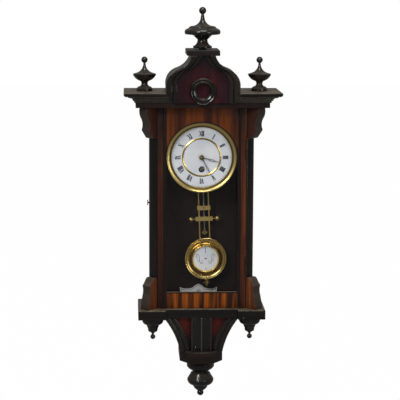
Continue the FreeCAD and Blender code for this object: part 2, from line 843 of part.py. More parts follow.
def pediment():
    """Bell-shaped pediment: bent wall, veneered panel, raised moulding, roundel, cap and finial."""
    panel_rear = pediment_front_depth - pediment_panel_thickness
    wall = ogee_block(0, pediment_rear_depth, panel_rear, cornice_top_z)
    hollow = ogee_block(-pediment_wall, pediment_rear_depth - overrun, panel_rear + overrun,
                        cornice_top_z - overrun)
    keep("pediment_wall", wall.cut(hollow))
    foot = lid_top_z
    above = board(-case_half_width, case_half_width, 0, pediment_front_depth, cornice_top_z,
                  case_half_width * 2)
    inner = pediment_half_width - pediment_moulding_width
    tongue = board(-inner, inner, panel_rear, pediment_front_depth, foot, cornice_top_z)
    panel = joined([ogee_block(0, panel_rear, pediment_front_depth, cornice_top_z), tongue])
    keep("pediment_panel", panel.common(joined([above, tongue])))

    proud = pediment_front_depth + pediment_moulding_proud
    lower = pediment_front_depth + pediment_bead_proud
    width = pediment_moulding_width
    band_width = pediment_band_share * width

    def outline_block(inset, depth0, depth1):
        return ogee_block(-inset, depth0, depth1, foot if depth0 else foot - overrun)

    outer_band = stepped_band(outline_block, 0, band_width, pediment_front_depth, proud)
    inner_band = stepped_band(outline_block, band_width, width - band_width, pediment_front_depth, lower)
    moulding = joined([outer_band, inner_band])
    below = board(-case_half_width, case_half_width, 0, proud + overrun, foot - overrun, cornice_top_z)
    trimmed = moulding.cut(below.cut(foot_mitre()))
    cap_low = cornice_top_z + pediment_height
    keep("pediment_moulding", trimmed)

    cap_front = pediment_front_depth + cap_overhang
    cap_rear = pediment_rear_depth - cap_overhang
    cap_top = cap_low + cap_thickness
    bed = board(-cap_half_width, cap_half_width, cap_rear, cap_front, cap_low, cap_top)
    keep("pediment_cap", bed)

    ring = [(s[0] * roundel_radius, s[1] * roundel_proud) for s in roundel_ring_shares]
    ring = [(roundel_hole_radius, 0), (roundel_radius, 0)] + ring
    keep("roundel", turned_ring(ring, 0, pediment_front_depth, roundel_z, out))

    finial_depth = (cap_front + cap_rear) / 2
    keep("top_finial", finial(0, finial_depth, cap_top, top_finial_radius, top_finial_height,
                              top_finial_ball_radius, top_finial_shares, up))
    side_finial = finial(side_finial_x, side_finial_depth, cornice_top_z, side_finial_radius,
                         side_finial_height,
                         side_finial_ball_radius, side_finial_shares, up)
    keep("side_finials", pair(side_finial))


def bracket(reach, height, shares, base_z, rise, post):
    """A pair of scalloped brackets standing out at 45 degrees from the canted corners."""
    points = [(0, base_z)] + [(s[0] * reach, base_z + rise * s[1] * height) + tuple(s[2:]) for s in shares]
    diagonal = 1 / math.sqrt(2)
    centre_x = (case_half_width + post_half_width) / 2
    centre_depth = (door_rear_depth + front_depth) / 2
    half = bracket_thickness / 2

    def place(u, v):
        return vec(centre_x + diagonal * (u + half), centre_depth + diagonal * (u - half), v)

    across = FreeCAD.Vector(-diagonal * bracket_thickness, -diagonal * bracket_thickness, 0)
    solid = face(points, place).extrude(across)
    return pair(solid.cut(post))


def brackets():
    """Upper and lower corner brackets."""
    post = nodes["corner_posts"]
    upper = bracket(upper_bracket_reach, upper_bracket_height, upper_bracket_shares, case_top_z, -1, post)
    lower = bracket(lower_bracket_reach, lower_bracket_height, lower_bracket_shares, case_bottom_z, 1, post)
    keep("corner_brackets", Part.makeCompound(upper.Solids + lower.Solids))


def plinth():
    """Plinth that breaks forward at both ends, with turned drops under its blocks."""
    tail = board(-console_half_width, console_half_width, 0, backboard_thickness, plinth_bottom_z,
                 case_bottom_z)
    outline = [
        (-plinth_half_width, 0), (-plinth_half_width, plinth_block_depth),
        (-opening_half_width, plinth_block_depth),
        (-opening_half_width, plinth_centre_depth), (opening_half_width, plinth_centre_depth),
        (opening_half_width, plinth_block_depth), (plinth_half_width, plinth_block_depth),
        (plinth_half_width, 0),
    ]
    keep("plinth", face(outline, plan(plinth_bottom_z)).extrude(upward(plinth_thickness)).cut(tail))
    drop = finial(drop_x, drop_depth, plinth_bottom_z, drop_radius, drop_height, drop_ball_radius,
                  drop_shares, down)
    keep("corner_drops", pair(drop))


def console():
    """Console below the plinth: back, curved sides, front panel, mouldings, pilaster, block and finial."""
    half, waist, bottom = console_half_width, console_waist_half_width, console_bottom_z
    panel_rear = console_front - console_panel_thickness

    def block(inset, depth0, depth1):
        outline = console_outline(half, waist, bottom, inset)
        return face(outline, front(depth0)).extrude(outward(depth1 - depth0))

    shell = block(0, backboard_thickness, panel_rear)
    shell = shell.cut(block(console_side_thickness, 0, console_front))
    keep("console_sides", Part.makeCompound(shell.Solids))
    keep("console_panel", block(0, panel_rear, console_front))
    moulding_front = console_front + console_moulding_proud
    bead_front = console_front + console_bead_proud
    outer_band = stepped_band(block, 0, console_moulding_width, console_front, moulding_front)
    inner_band = stepped_band(block, console_moulding_width, console_bead_width, console_front, bead_front)
    keep("console_mouldings", Part.makeCompound(joined([outer_band, inner_band]).Solids))

    half_p, ridge = pilaster_half_width, pilaster_ridge_half_width
    face_depth = console_front + pilaster_proud
    flute = face_depth - pilaster_flute_depth
    middle = half_p / 2
    section = [(-half_p, console_front), (-half_p, face_depth), (-half_p + ridge, face_depth),
               (-middle, flute, via), (-ridge, face_depth), (ridge, face_depth),
               (middle, flute, via), (half_p - ridge, face_depth), (half_p, face_depth),
               (half_p, console_front)]
    keep("pilaster", face(section, plan(bottom)).extrude(upward(plinth_bottom_z - bottom)))

    def block_plan(z, side_half, front_half, rear, depth, cant):
        points = [(-side_half, rear), (-side_half, depth - cant), (-front_half, depth), (front_half, depth),
                  (side_half, depth - cant), (side_half, rear)]
        return wire(points, plan(z))

    low = bottom - block_height
    front_depth_b = block_front_depth + pilaster_proud / 2
    cant = block_cant_depth
    upper = Part.Face(block_plan(bottom, waist, block_front_half_width, 0, front_depth_b, cant))
    prism = upper.extrude(upward(-block_height))
    foot_share = block_foot_half_width / waist
    reach = bottom_finial_depth + (front_depth_b - bottom_finial_depth) * foot_share
    rear = bottom_finial_depth * (1 - foot_share)
    taper = Part.makeLoft([
        block_plan(low, waist, block_front_half_width, 0, front_depth_b, cant),
        block_plan(low - block_taper_height, block_foot_half_width, block_front_half_width * foot_share,
                   rear, reach, cant * foot_share),
    ], True, True)
    keep("console_block", joined([prism, taper]))
    keep("bottom_finial", finial(0, bottom_finial_depth, low - block_taper_height, bottom_finial_radius,
                                 bottom_finial_height, bottom_finial_ball_radius, bottom_finial_shares,
                                 down))


# Places in the movement
centre = (0.0, dial_z)
winding = (0.0, dial_z - winding_drop)
anchor_centre = (0.0, pendulum_z)
escape = (0.0, pendulum_z - escape_drop)


def meeting_point(a, b, from_a, from_b):
    """The point to the right of a and b at given distances from both."""
    between = math.dist(a, b)
    along = (from_a ** 2 - from_b ** 2 + between ** 2) / (2 * between)
    off = math.sqrt(from_a ** 2 - along ** 2)
    ux, uz = (b[0] - a[0]) / between, (b[1] - a[1]) / between
    return (a[0] + ux * along + uz * off, a[1] + uz * along - ux * off)


def direction(a, b):
    """The angle from a to b, counted anticlockwise from the right as seen from the front."""
    return math.atan2(b[1] - a[1], b[0] - a[0])


third = meeting_point(centre, escape, centre_third_distance, third_escape_distance)
minute_turn = math.radians(motion_angle)
minute_centre = (centre[0] + motion_distance * math.cos(minute_turn),
                 centre[1] + motion_distance * math.sin(minute_turn))


def meshed(phase, wheel_teeth, wheel_radius, from_wheel, to_pinion, pinion_teeth, pinion_radius):
    """The turn that puts a gap of one wheel on the tooth of another, on the line between their centres."""
    line = direction(from_wheel, to_pinion)
    return line + math.pi - (phase - line) * wheel_radius / pinion_radius + math.pi / pinion_teeth


def gear_face(at, depth, teeth, pitch_radius, share, phase):
    """A toothed outline: flanks lean in from root to tip, and the tip is narrower."""
    module = 2 * pitch_radius / teeth
    tip = pitch_radius + addendum_share * module
    root = pitch_radius - dedendum_share * module
    half = share * math.pi / teeth
    root_half = half * (tooth_root_share if share == tooth_share else 1)
    tip_half = half * tooth_tip_share
    points = []
    for tooth in range(teeth):
        middle = phase + 2 * math.pi * tooth / teeth
        for radius, turn in ((root, -root_half), (pitch_radius, -half), (tip, -tip_half),
                             (tip, tip_half), (pitch_radius, half), (root, root_half)):
            points.append((at[0] + radius * math.cos(middle + turn),
                           at[1] + radius * math.sin(middle + turn)))
    return face(points, front(depth))


def arbor(at, radius, depth0, depth1):
    """A round arbor between two depths."""
    return rod(radius, vec(at[0], depth0, at[1]), vec(at[0], depth1, at[1]))


def pivoted(at, radius):
    """An arbor that fills the gap between the plates, with a thin pivot in each plate."""
    body = arbor(at, radius, inside_depth + running_clearance * 2, front_plate_depth - running_clearance * 2)
    return [body, arbor(at, pivot_radius, back_plate_depth, front_face_depth)]


def pinion(at, depth, length, leaves, pitch_radius, phase):
    """A pinion cut with a few leaves."""
    return gear_face(at, depth, leaves, pitch_radius, leaf_share, phase).extrude(outward(length))


def wheel(at, depth, teeth, pitch_radius, phase, spokes, thickness):
    """A spoked wheel with a toothed rim and a hub."""
    blank = gear_face(at, depth, teeth, pitch_radius, tooth_share, phase).extrude(outward(thickness))
    if not spokes:
        return blank
    module = 2 * pitch_radius / teeth
    rim = pitch_radius - dedendum_share * module - wheel_rim + module
    window = arbor(at, rim, depth - overrun, depth + thickness + overrun)
    window = window.cut(arbor(at, wheel_hub_radius, depth - overrun, depth + thickness + overrun))
    half = wheel_spoke_width / 2
    for spoke in range(spokes):
        bar = board(at[0], at[0] + pitch_radius, depth - overrun, depth + thickness + overrun, at[1] - half,
                    at[1] + half)
        bar.rotate(vec(at[0], 0, at[1]), out, 360.0 * spoke / spokes + first_spoke_angle)
        window = window.cut(bar)
    return blank.cut(window)


def pitch_radii(distance, wheel_count, pinion_count):
    """Pitch radii of a wheel and a pinion a given distance apart."""
    whole = wheel_count + pinion_count
    return distance * wheel_count / whole, distance * pinion_count / whole


def frame():
    """Two plates on pillars, carried by two arms on the backboard, with the cock for the anchor."""
    def plate(depth):
        return board(-plate_half_width, plate_half_width, depth, depth + plate_thickness, plate_bottom_z,
                     plate_top_z)

    holes = []
    for at in (third, escape):
        holes.append(arbor(at, pivot_radius + running_clearance, 0, front_face_depth + overrun))
    back_holes = holes + [arbor(winding, pivot_radius + running_clearance, 0, inside_depth + overrun),
                          arbor(centre, pivot_radius + running_clearance, 0, inside_depth + overrun),
                          arbor(anchor_centre, anchor_hub_radius, 0, inside_depth + overrun)]
    front_holes = holes + [arbor(winding, winding_arbor_radius + running_clearance,
                                 front_plate_depth - overrun,
                                 front_face_depth + overrun),
                           arbor(centre, arbor_radius + running_clearance, front_plate_depth - overrun,
                                 front_face_depth + overrun),
                           arbor(anchor_centre, pivot_radius + running_clearance,
                                 front_plate_depth - overrun,
                                 front_face_depth + overrun)]
    back = plate(back_plate_depth).cut(back_holes)
    front_plate = plate(front_plate_depth).cut(front_holes)
    pillars = []
    for x in (-plate_half_width + pillar_inset, plate_half_width - pillar_inset):
        for z in (plate_bottom_z + pillar_inset, plate_top_z - pillar_inset):
            pillars.append(rod(pillar_radius, vec(x, inside_depth, z), vec(x, front_plate_depth, z)))
    keep("movement_frame", Part.makeCompound([back, front_plate] + pillars))

    arms = []
    for sign in (-1, 1):
        inner = sign * (bracket_arm_half_spacing - bracket_arm_width / 2)
        outer = sign * (bracket_arm_half_spacing + bracket_arm_width / 2)
        low, high = bracket_arm_z - bracket_arm_thickness, bracket_arm_z + bracket_arm_thickness
        arm = board(min(inner, outer), max(inner, outer), backboard_thickness, back_plate_depth, low, high)
        foot = board(min(inner, outer), max(inner, outer), backboard_thickness,
                     backboard_thickness + bracket_arm_thickness,
                     bracket_arm_z - bracket_foot_height / 2, bracket_arm_z + bracket_foot_height / 2)
        pad = board(min(inner, outer), max(inner, outer), back_plate_depth - bracket_arm_thickness,
                    back_plate_depth,
                    bracket_arm_z - bracket_foot_height / 2, bracket_arm_z + bracket_foot_height / 2)
        arms.append(joined([arm, foot, pad]))
    keep("movement_bracket", Part.makeCompound(arms))

    cock_front = back_plate_depth
    cock_rear = back_plate_depth - cock_stand_off
    low, high = pendulum_z - cock_bar_half_height, pendulum_z + cock_bar_half_height
    bar = board(-cock_half_width, cock_half_width, cock_rear, cock_rear + cock_thickness, low, high)
    feet = [board(min(x, x + s * cock_thickness), max(x, x + s * cock_thickness), cock_rear, cock_front,
                  low, high)
            for x, s in ((-cock_half_width, 1), (cock_half_width, -1))]
    hole = arbor(anchor_centre, arbor_radius + running_clearance, 0, cock_rear + cock_thickness + overrun)
    keep("back_cock", joined([bar] + feet).cut(hole))


def going_train():
    """Going barrel, centre, third and escape wheels, in mesh, between the plates."""
    great_radius, centre_pinion_radius = pitch_radii(winding_drop, great_teeth, centre_leaves)
    centre_radius, third_pinion_radius = pitch_radii(centre_third_distance, centre_teeth, third_leaves)
    third_radius, escape_pinion_radius = pitch_radii(third_escape_distance, third_teeth, escape_leaves)
    great_phase = direction(winding, centre)
    centre_phase = meshed(great_phase, great_teeth, great_radius, winding, centre, centre_leaves,
                          centre_pinion_radius)
    third_phase = meshed(centre_phase, centre_teeth, centre_radius, centre, third, third_leaves,
                         third_pinion_radius)
    escape_phase = meshed(third_phase, third_teeth, third_radius, third, escape, escape_leaves,
                          escape_pinion_radius)
    great_depth = inside_depth + great_layer
    centre_depth = inside_depth + centre_layer
    third_depth = inside_depth + third_layer
    escape_depth = inside_depth + escape_layer
    length = wheel_thickness * 2

    bore = arbor(winding, winding_arbor_radius + running_clearance, 0, dial_depth)
    drum_front = great_depth + wheel_thickness + barrel_length
    drum = arbor(winding, barrel_radius, great_depth + wheel_thickness, drum_front)
    hollow = arbor(winding, barrel_radius - barrel_wall, great_depth + wheel_thickness + barrel_wall,
                   drum_front - barrel_wall)
    great = wheel(winding, great_depth, great_teeth, great_radius, great_phase, 0, wheel_thickness)
    keep("going_barrel", joined([great, drum]).cut(hollow).cut(bore))

    square = winding_square / 2
    winding_front = dial_depth + dial_centre_thickness
    spindle = [
        arbor(winding, winding_arbor_radius, inside_depth + running_clearance * 2, front_face_depth),
        arbor(winding, pivot_radius, back_plate_depth, inside_depth + overrun),
        board(winding[0] - square, winding[0] + square, front_face_depth, winding_front,
              winding[1] - square, winding[1] + square),
        ratchet(),
    ]
    keep("winding_arbor", joined(spindle))

    centre_front = minute_hand_rear + 2 * hand_thickness
    keep("centre_wheel", joined([
        wheel(centre, centre_depth, centre_teeth, centre_radius, centre_phase, wheel_spokes,
              wheel_thickness),
        pinion(centre, great_depth - wheel_thickness / 2, length, centre_leaves, centre_pinion_radius,
               centre_phase),
        arbor(centre, arbor_radius, inside_depth + running_clearance * 2, centre_front),
        arbor(centre, pivot_radius, back_plate_depth, inside_depth + overrun),
    ]))
    keep("third_wheel", joined([
        wheel(third, third_depth, third_teeth, third_radius, third_phase, wheel_spokes, wheel_thickness),
        pinion(third, centre_depth - wheel_thickness / 2, length, third_leaves, third_pinion_radius,
               third_phase),
    ] + pivoted(third, third_arbor_radius)))
    keep("escape_wheel", joined([
        escape_disc(escape_depth),
        pinion(escape, third_depth - wheel_thickness / 2, length, escape_leaves, escape_pinion_radius,
               escape_phase),
    ] + pivoted(escape, third_arbor_radius)))


def ratchet():
    """Saw-toothed wheel on the winding arbor, in front of the front plate."""
    depth = front_face_depth + motion_stand_off
    points = []
    for tooth in range(ratchet_teeth):
        turn = 2 * math.pi * tooth / ratchet_teeth
        for radius in (ratchet_radius, ratchet_radius - ratchet_tooth_depth):
            points.append((winding[0] + radius * math.cos(turn), winding[1] + radius * math.sin(turn)))
    return face(points, front(depth)).extrude(outward(motion_thickness))


def escape_disc(depth):
    """Escape wheel with thin teeth that lean forwards, on four spokes."""
    pitch = 2 * math.pi / escape_teeth
    root = escape_radius - escape_tooth_depth
    points = []
    for tooth in range(escape_teeth):
        turn = pitch * tooth
        for radius, share in ((root, 0.0), (escape_radius, escape_tooth_lean_share),
                              (escape_radius, escape_tooth_lean_share + escape_tooth_tip_share),
                              (root, escape_tooth_back_share)):
            angle = turn + share * pitch
            points.append((escape[0] + radius * math.cos(angle), escape[1] + radius * math.sin(angle)))
    disc = face(points, front(depth)).extrude(outward(wheel_thickness))
    rim = root - wheel_rim / 2
    window = arbor(escape, rim, depth - overrun, depth + wheel_thickness + overrun)
    window = window.cut(arbor(escape, wheel_hub_radius, depth - overrun, depth + wheel_thickness + overrun))
    half = wheel_spoke_width / 2
    for spoke in range(wheel_spokes):
        bar = board(escape[0], escape[0] + escape_radius, depth - overrun, depth + wheel_thickness + overrun,
                    escape[1] - half, escape[1] + half)
        bar.rotate(vec(escape[0], 0, escape[1]), out, 360.0 * spoke / wheel_spokes)
        window = window.cut(bar)
    return disc.cut(window)


def click():
    """Click that stands by the ratchet, on a stud in the front plate."""
    depth = front_face_depth + motion_stand_off
    tip_x = winding[0] - ratchet_radius - click_clearance
    pivot_z = winding[1] + click_length
    pivot_x = tip_x - click_width / 2
    half = click_width / 2
    outline = [
        (tip_x, winding[1]), (tip_x, winding[1] + half), (pivot_x + half, pivot_z),
        (pivot_x, pivot_z + half, via),
        (pivot_x - half, pivot_z), (pivot_x - half * click_heel_share, winding[1] + half),
    ]
    lever = face(outline, front(depth)).extrude(outward(motion_thickness))
    stud_at = (pivot_x, pivot_z)
    hole = arbor(stud_at, pivot_radius + running_clearance, depth - overrun, depth + overrun)
    keep("click", lever.cut(hole))
    stud = arbor(stud_at, pivot_radius, front_face_depth, depth + motion_thickness)
    nodes["movement_frame"] = Part.makeCompound(nodes["movement_frame"].Solids + [stud])


def lean(shape):
    """Turns a hanging piece about the pendulum's axis, as far as it leans in its rest pose."""
    shape = shape.copy()
    shape.rotate(vec(0, 0, pendulum_z), out, pendulum_lean)
    return shape


def anchor():
    """Anchor and its arbor, with the crutch that embraces the pendulum's centre rod."""
    depth = inside_depth + escape_layer - (anchor_thickness - wheel_thickness) / 2

    def polar(radius, degrees):
        turn = math.radians(degrees)
        return (radius * math.sin(turn), pendulum_z - radius * math.cos(turn))

    middle = (anchor_end_angle + anchor_shoulder_angle) / 2
    shoulder = polar(anchor_outer_radius, anchor_shoulder_angle)
    outer_middle = polar(anchor_outer_radius, middle)
    inner_middle = polar(anchor_inner_radius, middle)
    inner_shoulder = polar(anchor_inner_radius, anchor_shoulder_angle)
    crown = anchor_hub_radius
    back_x_share, back_z_share = anchor_back_shares
    belly_x_share, belly_z_share = anchor_belly_shares
    root_x_share, root_z_share = anchor_root_shares
    right = [
        (0, pendulum_z + crown),
        (shoulder[0] * back_x_share, pendulum_z + crown * back_z_share, via), shoulder,
        outer_middle + (via,), polar(anchor_outer_radius, anchor_end_angle),
        polar(anchor_inner_radius, anchor_end_angle), inner_middle + (via,), inner_shoulder,
        (inner_shoulder[0] * belly_x_share, pendulum_z - crown * belly_z_share, via),
        (crown * root_x_share, pendulum_z - crown * root_z_share),
    ]
    left = [(-p[0], p[1]) + tuple(p[2:]) for p in reversed(right[1:])]
    body = face(right + left, front(depth)).extrude(outward(anchor_thickness))
    cock_rear = back_plate_depth - cock_stand_off
    shaft = [
        arbor(anchor_centre, arbor_radius, cock_rear, front_plate_depth - running_clearance * 2),
        arbor(anchor_centre, pivot_radius, front_plate_depth - overrun, front_face_depth),
    ]
    keep("anchor", lean(joined([body] + shaft)))

    crutch_depth = back_plate_depth - crutch_stand_off
    rear = crutch_depth - crutch_thickness
    fork_z = pendulum_z - crutch_length
    half = crutch_width / 2
    arm = board(-half, half, rear, crutch_depth, fork_z, pendulum_z)
    eye = arbor(anchor_centre, crutch_width, rear, crutch_depth)
    gap = centre_rod_radius + running_clearance
    tine_front = crutch_depth
    tine_rear = pendulum_depth - centre_rod_radius
    yoke = board(-gap - fork_tine_width, gap + fork_tine_width, rear, crutch_depth, fork_z - fork_height,
                 fork_z)
    tines = [
        board(gap, gap + fork_tine_width, tine_rear, tine_front, fork_z - fork_height, fork_z),
        board(-gap - fork_tine_width, -gap, tine_rear, tine_front, fork_z - fork_height, fork_z),
    ]
    hole = arbor(anchor_centre, arbor_radius, 0, crutch_depth + overrun)
    crutch = joined([arm, eye, yoke] + tines).cut(hole)
    nodes["anchor"] = Part.makeCompound(nodes["anchor"].Solids + [lean(crutch)])


def motion_work():
    """Cannon pinion, minute wheel and hour wheel in front of the front plate, and the two hands."""
    minute_radius, cannon_pitch = pitch_radii(motion_distance, minute_teeth, cannon_leaves)
    hour_radius, minute_pitch = pitch_radii(motion_distance, hour_teeth, minute_leaves)
    rear_layer = front_face_depth + motion_stand_off
    front_layer = rear_layer + motion_thickness + motion_layer_gap
    cannon_phase = direction(centre, minute_centre)
    minute_phase = meshed(cannon_phase, cannon_leaves, cannon_pitch, centre, minute_centre, minute_teeth,
                          minute_radius)
    hour_phase = meshed(minute_phase, minute_leaves, minute_pitch, minute_centre, centre, hour_teeth,
                        hour_radius)
    cannon_bore = arbor(centre, arbor_radius + running_clearance, 0, dial_depth * 2)
    cannon = joined([
        pinion(centre, rear_layer, motion_thickness, cannon_leaves, cannon_pitch, cannon_phase),
        arbor(centre, cannon_radius, rear_layer, minute_hand_rear),
    ]).cut(cannon_bore)
    keep("cannon_pinion", cannon)

    stud = arbor(minute_centre, pivot_radius, front_face_depth, front_layer + motion_thickness)
    minute_bore = arbor(minute_centre, pivot_radius + running_clearance, 0, dial_depth)
    minute_wheel = joined([
        wheel(minute_centre, rear_layer, minute_teeth, minute_radius, minute_phase, 0, motion_thickness),
        pinion(minute_centre, rear_layer, front_layer + motion_thickness - rear_layer, minute_leaves,
               minute_pitch, minute_phase),
    ]).cut(minute_bore)
    keep("minute_wheel", minute_wheel)
    nodes["movement_frame"] = Part.makeCompound(nodes["movement_frame"].Solids + [stud])

    hour_bore = arbor(centre, cannon_radius + running_clearance, 0, dial_depth * 2)
    keep("hour_wheel", joined([
        wheel(centre, front_layer, hour_teeth, hour_radius, hour_phase, 0, motion_thickness),
        arbor(centre, hour_pipe_radius, front_layer, hour_hand_rear + hand_thickness),
    ]).cut(hour_bore))

    hour_hole = arbor(centre, hour_pipe_radius, 0, dial_depth * 2)
    keep("hour_hand", hand(hour_hand_rear, hour_hand_angle, hour_hand_length, hour_collet_radius,
                           hour_blade_shares, hour_piercing_shares).cut(hour_hole))
    minute_hole = arbor(centre, arbor_radius + running_clearance, 0, dial_depth * 2)
    keep("minute_hand", hand(minute_hand_rear, minute_hand_angle, minute_hand_length, minute_collet_radius,
                             minute_blade_shares, minute_piercing_shares).cut(minute_hole))


def hand(depth, angle, length, collet_radius, blade_shares, piercing_shares):
    """A pierced steel hand with a round collet, turned clockwise from twelve by an angle."""
    def leaf(shares):
        right = [(s[1] * length, dial_z + s[0] * length) for s in shares]
        left = [(-x, z) for x, z in reversed(right)]
        return face(right + left, front(depth)).extrude(outward(hand_thickness))

    root = [(0.0, blade_shares[0][1])] + list(blade_shares)
    blade = leaf(root).cut(leaf(piercing_shares))
    collet = arbor(centre, collet_radius, depth, depth + hand_thickness)
    whole = joined([blade, collet])
    whole.rotate(vec(0, 0, dial_z), out, -angle)
    return whole


def dial():
    """Dial plate on four feet, enamel chapter ring and centre, brass rings and the bezel."""
    rear = dial_depth - dial_plate_thickness
    feet = []
    for x in (-dial_foot_x, dial_foot_x):
        for z in (dial_z - dial_foot_z, dial_z + dial_foot_z):
            feet.append(rod(dial_foot_radius, vec(x, front_face_depth, z), vec(x, rear, z)))
    plate = joined([rod(dial_plate_radius, vec(0, rear, dial_z), vec(0, dial_depth, dial_z))] + feet)
    centre_hole = arbor(centre, dial_hole_radius, 0, dial_depth * 2)
    winding_hole = arbor(winding, ferrule_hole_radius, 0, dial_depth * 2)
    keep("dial_plate", plate.cut(centre_hole).cut(winding_hole))
    inner = inner_ring_radius - inner_ring_width
    chapter = tube(chapter_radius - enamel_clearance, inner_ring_radius, vec(0, dial_depth, dial_z),
                   vec(0, dial_depth + chapter_thickness, dial_z))
    disc = rod(inner, vec(0, dial_depth, dial_z), vec(0, dial_depth + dial_centre_thickness, dial_z))
    ferrule_seat = arbor(winding, ferrule_radius, 0, dial_depth * 2)
    keep("dial_enamel", Part.makeCompound([chapter, disc.cut(centre_hole).cut(ferrule_seat)]))
    ring_front = chapter_thickness + inner_ring_proud
    ring = turned_ring([(inner, 0), (inner, ring_front - inner_ring_proud),
                        (inner + inner_ring_width / 2, ring_front),
                        (inner_ring_radius, ring_front - inner_ring_proud), (inner_ring_radius, 0)],
                       0, dial_depth, dial_z, out)
    ferrule_front = dial_centre_thickness + ferrule_proud
    ferrule = turned_ring([(ferrule_hole_radius, 0), (ferrule_hole_radius, ferrule_front),
                           (ferrule_radius, dial_centre_thickness), (ferrule_radius, 0)],
                          winding[0], dial_depth, winding[1], out)
    keep("dial_rings", Part.makeCompound([ring, ferrule]))
    lip = bezel_lip
    section = [
        (chapter_radius, 0), (chapter_radius, chapter_thickness),
        (chapter_radius + lip, chapter_thickness + lip),
    ]
    section += [
        (bezel_radius - s[0] * lip, bezel_height - s[1] * lip) + tuple(s[2:]) for s in bezel_lip_shares
    ]
    section += [
        (bezel_radius, -dial_plate_thickness), (dial_plate_radius, -dial_plate_thickness),
        (dial_plate_radius, 0),
    ]
    keep("bezel", turned_ring(section, 0, dial_depth, dial_z, out))


def pendulum():
    """Suspension cock and the leaning pendulum: spring, rods, cross plates, bob and rating nut."""
    top_z = pendulum_z + suspension_grip + cock_thickness
    half_slot = suspension_slot / 2
    arm_half = chap_half_width
    rear = backboard_thickness
    cock_front = pendulum_depth + suspension_width / 2
    arm = board(-arm_half, arm_half, rear, cock_front, pendulum_z, top_z + cock_thickness)
    plate = board(-arm_half * 2, arm_half * 2, rear, rear + cock_thickness, pendulum_z - chap_height,
                  top_z + chap_height)
    slot = board(-half_slot, half_slot, pendulum_depth - suspension_width / 2 - wood_gap,
                 cock_front + overrun,
                 pendulum_z - overrun, pendulum_z + suspension_grip + wood_gap)
    keep("suspension_cock", joined([arm, plate]).cut(slot))

    half_spring = suspension_thickness / 2
    strip = board(-half_spring, half_spring, pendulum_depth - suspension_width / 2, cock_front,
                  pendulum_z - suspension_length, pendulum_z + suspension_grip)
    chap_top = pendulum_z - suspension_length
    chap = board(-chap_half_width, chap_half_width, pendulum_depth - chap_thickness / 2,
                 pendulum_depth + chap_thickness / 2, chap_top - chap_height, chap_top)
    keep("suspension_spring", lean(joined([strip, chap])))

    rod_top = chap_top - chap_height
    arrow_z = pendulum_z - arrow_drop
    plate_half = cross_plate_thickness / 2
    half_width, half_height = arrow_half_width, arrow_half_height
    arrow_points = [
        (0, arrow_z - half_height), (half_width, arrow_z), (half_width / 2, arrow_z + half_height / 2),
        (0, arrow_z + half_height), (-half_width / 2, arrow_z + half_height / 2), (-half_width, arrow_z),
    ]
    arrow = face(arrow_points, front(pendulum_depth - plate_half)).extrude(outward(cross_plate_thickness))
    spine = rod(centre_rod_radius, vec(0, pendulum_depth, rod_top), vec(0, pendulum_depth, arrow_z))
    spine = joined([spine, arrow])

    head_z = pendulum_z - head_bar_drop
    bob_z = pendulum_z - bob_drop
    tail_z = bob_z - bob_radius + rating_nut_gap
    bars = [board(-outer_rod_x - outer_rod_radius, outer_rod_x + outer_rod_radius,
                  pendulum_depth - outer_rod_radius,
                  pendulum_depth + outer_rod_radius, z, z + 2 * outer_rod_radius) for z in (head_z, tail_z)]
    rods = [rod(outer_rod_radius, vec(x, pendulum_depth, head_z), vec(x, pendulum_depth, tail_z))
            for x in (-outer_rod_x, outer_rod_x)]
    screw_end = bob_z - bob_radius - rating_screw_length
    screw = rod(rating_screw_radius, vec(0, pendulum_depth, tail_z), vec(0, pendulum_depth, screw_end))
    cradle = joined(bars + rods + [screw]).cut(spine)
    keep("rod_frame", lean(cradle))
    keep("centre_rod", lean(spine))

    def cross(drop, half_width, height):
        z = pendulum_z - drop
        front_depth_c = pendulum_depth + centre_rod_radius
        return board(-half_width, half_width, front_depth_c, front_depth_c + cross_plate_thickness,
                     z - height / 2, z + height / 2)

    upper = cross(upper_cross_drop, upper_cross_half_width, upper_cross_height)
    hole_z = pendulum_z - upper_cross_drop
    upper = upper.cut(rod(cross_hole_radius, vec(0, 0, hole_z), vec(0, pendulum_depth * 2, hole_z)))
    lower = cross(lower_cross_drop, lower_cross_half_width, lower_cross_height)
    knob_z = pendulum_z - lower_cross_drop
    knob_depth = pendulum_depth + centre_rod_radius + plate_half
    stem_length = knob_x - lower_cross_half_width
    ball_reach = math.sqrt(knob_radius ** 2 - knob_stem_radius ** 2)
    knob_profile = [(knob_stem_radius, 0), (knob_stem_radius, stem_length - ball_reach),
                    (knob_radius, stem_length, via), (0, stem_length + knob_radius)]
    knobs = [turned(knob_profile, sign * lower_cross_half_width, knob_depth, knob_z,
                    FreeCAD.Vector(sign, 0, 0))
             for sign in (-1, 1)]
    keep("cross_plates", Part.makeCompound([lean(upper), lean(lower)] + [lean(knob) for knob in knobs]))

    shell = bob(bob_z)
    passage = joined([cradle, board(-outer_rod_x, outer_rod_x, pendulum_depth - outer_rod_radius,
                                    pendulum_depth + outer_rod_radius, bob_z, bob_z + bob_radius + overrun)])
    keep("bob_shell", lean(shell.cut(passage)))
    enamel_rear = bob_half_thickness - bob_dish_setback
    enamel = rod(bob_dish_radius, vec(0, pendulum_depth + enamel_rear, bob_z),
                 vec(0, pendulum_depth + enamel_rear + bob_enamel_thickness, bob_z))
    keep("bob_enamel", lean(enamel))
    nut_top = bob_z - bob_radius - running_clearance
    nut_profile = [(s[0] * rating_nut_radius, s[1] * rating_nut_height) for s in rating_nut_shares]
    nut = turned(nut_profile, 0, pendulum_depth, nut_top, down)
    hole = rod(rating_screw_radius + running_clearance, vec(0, pendulum_depth, nut_top + overrun),
               vec(0, pendulum_depth, screw_end - overrun))
    keep("rating_nut", lean(nut.cut(hole)))


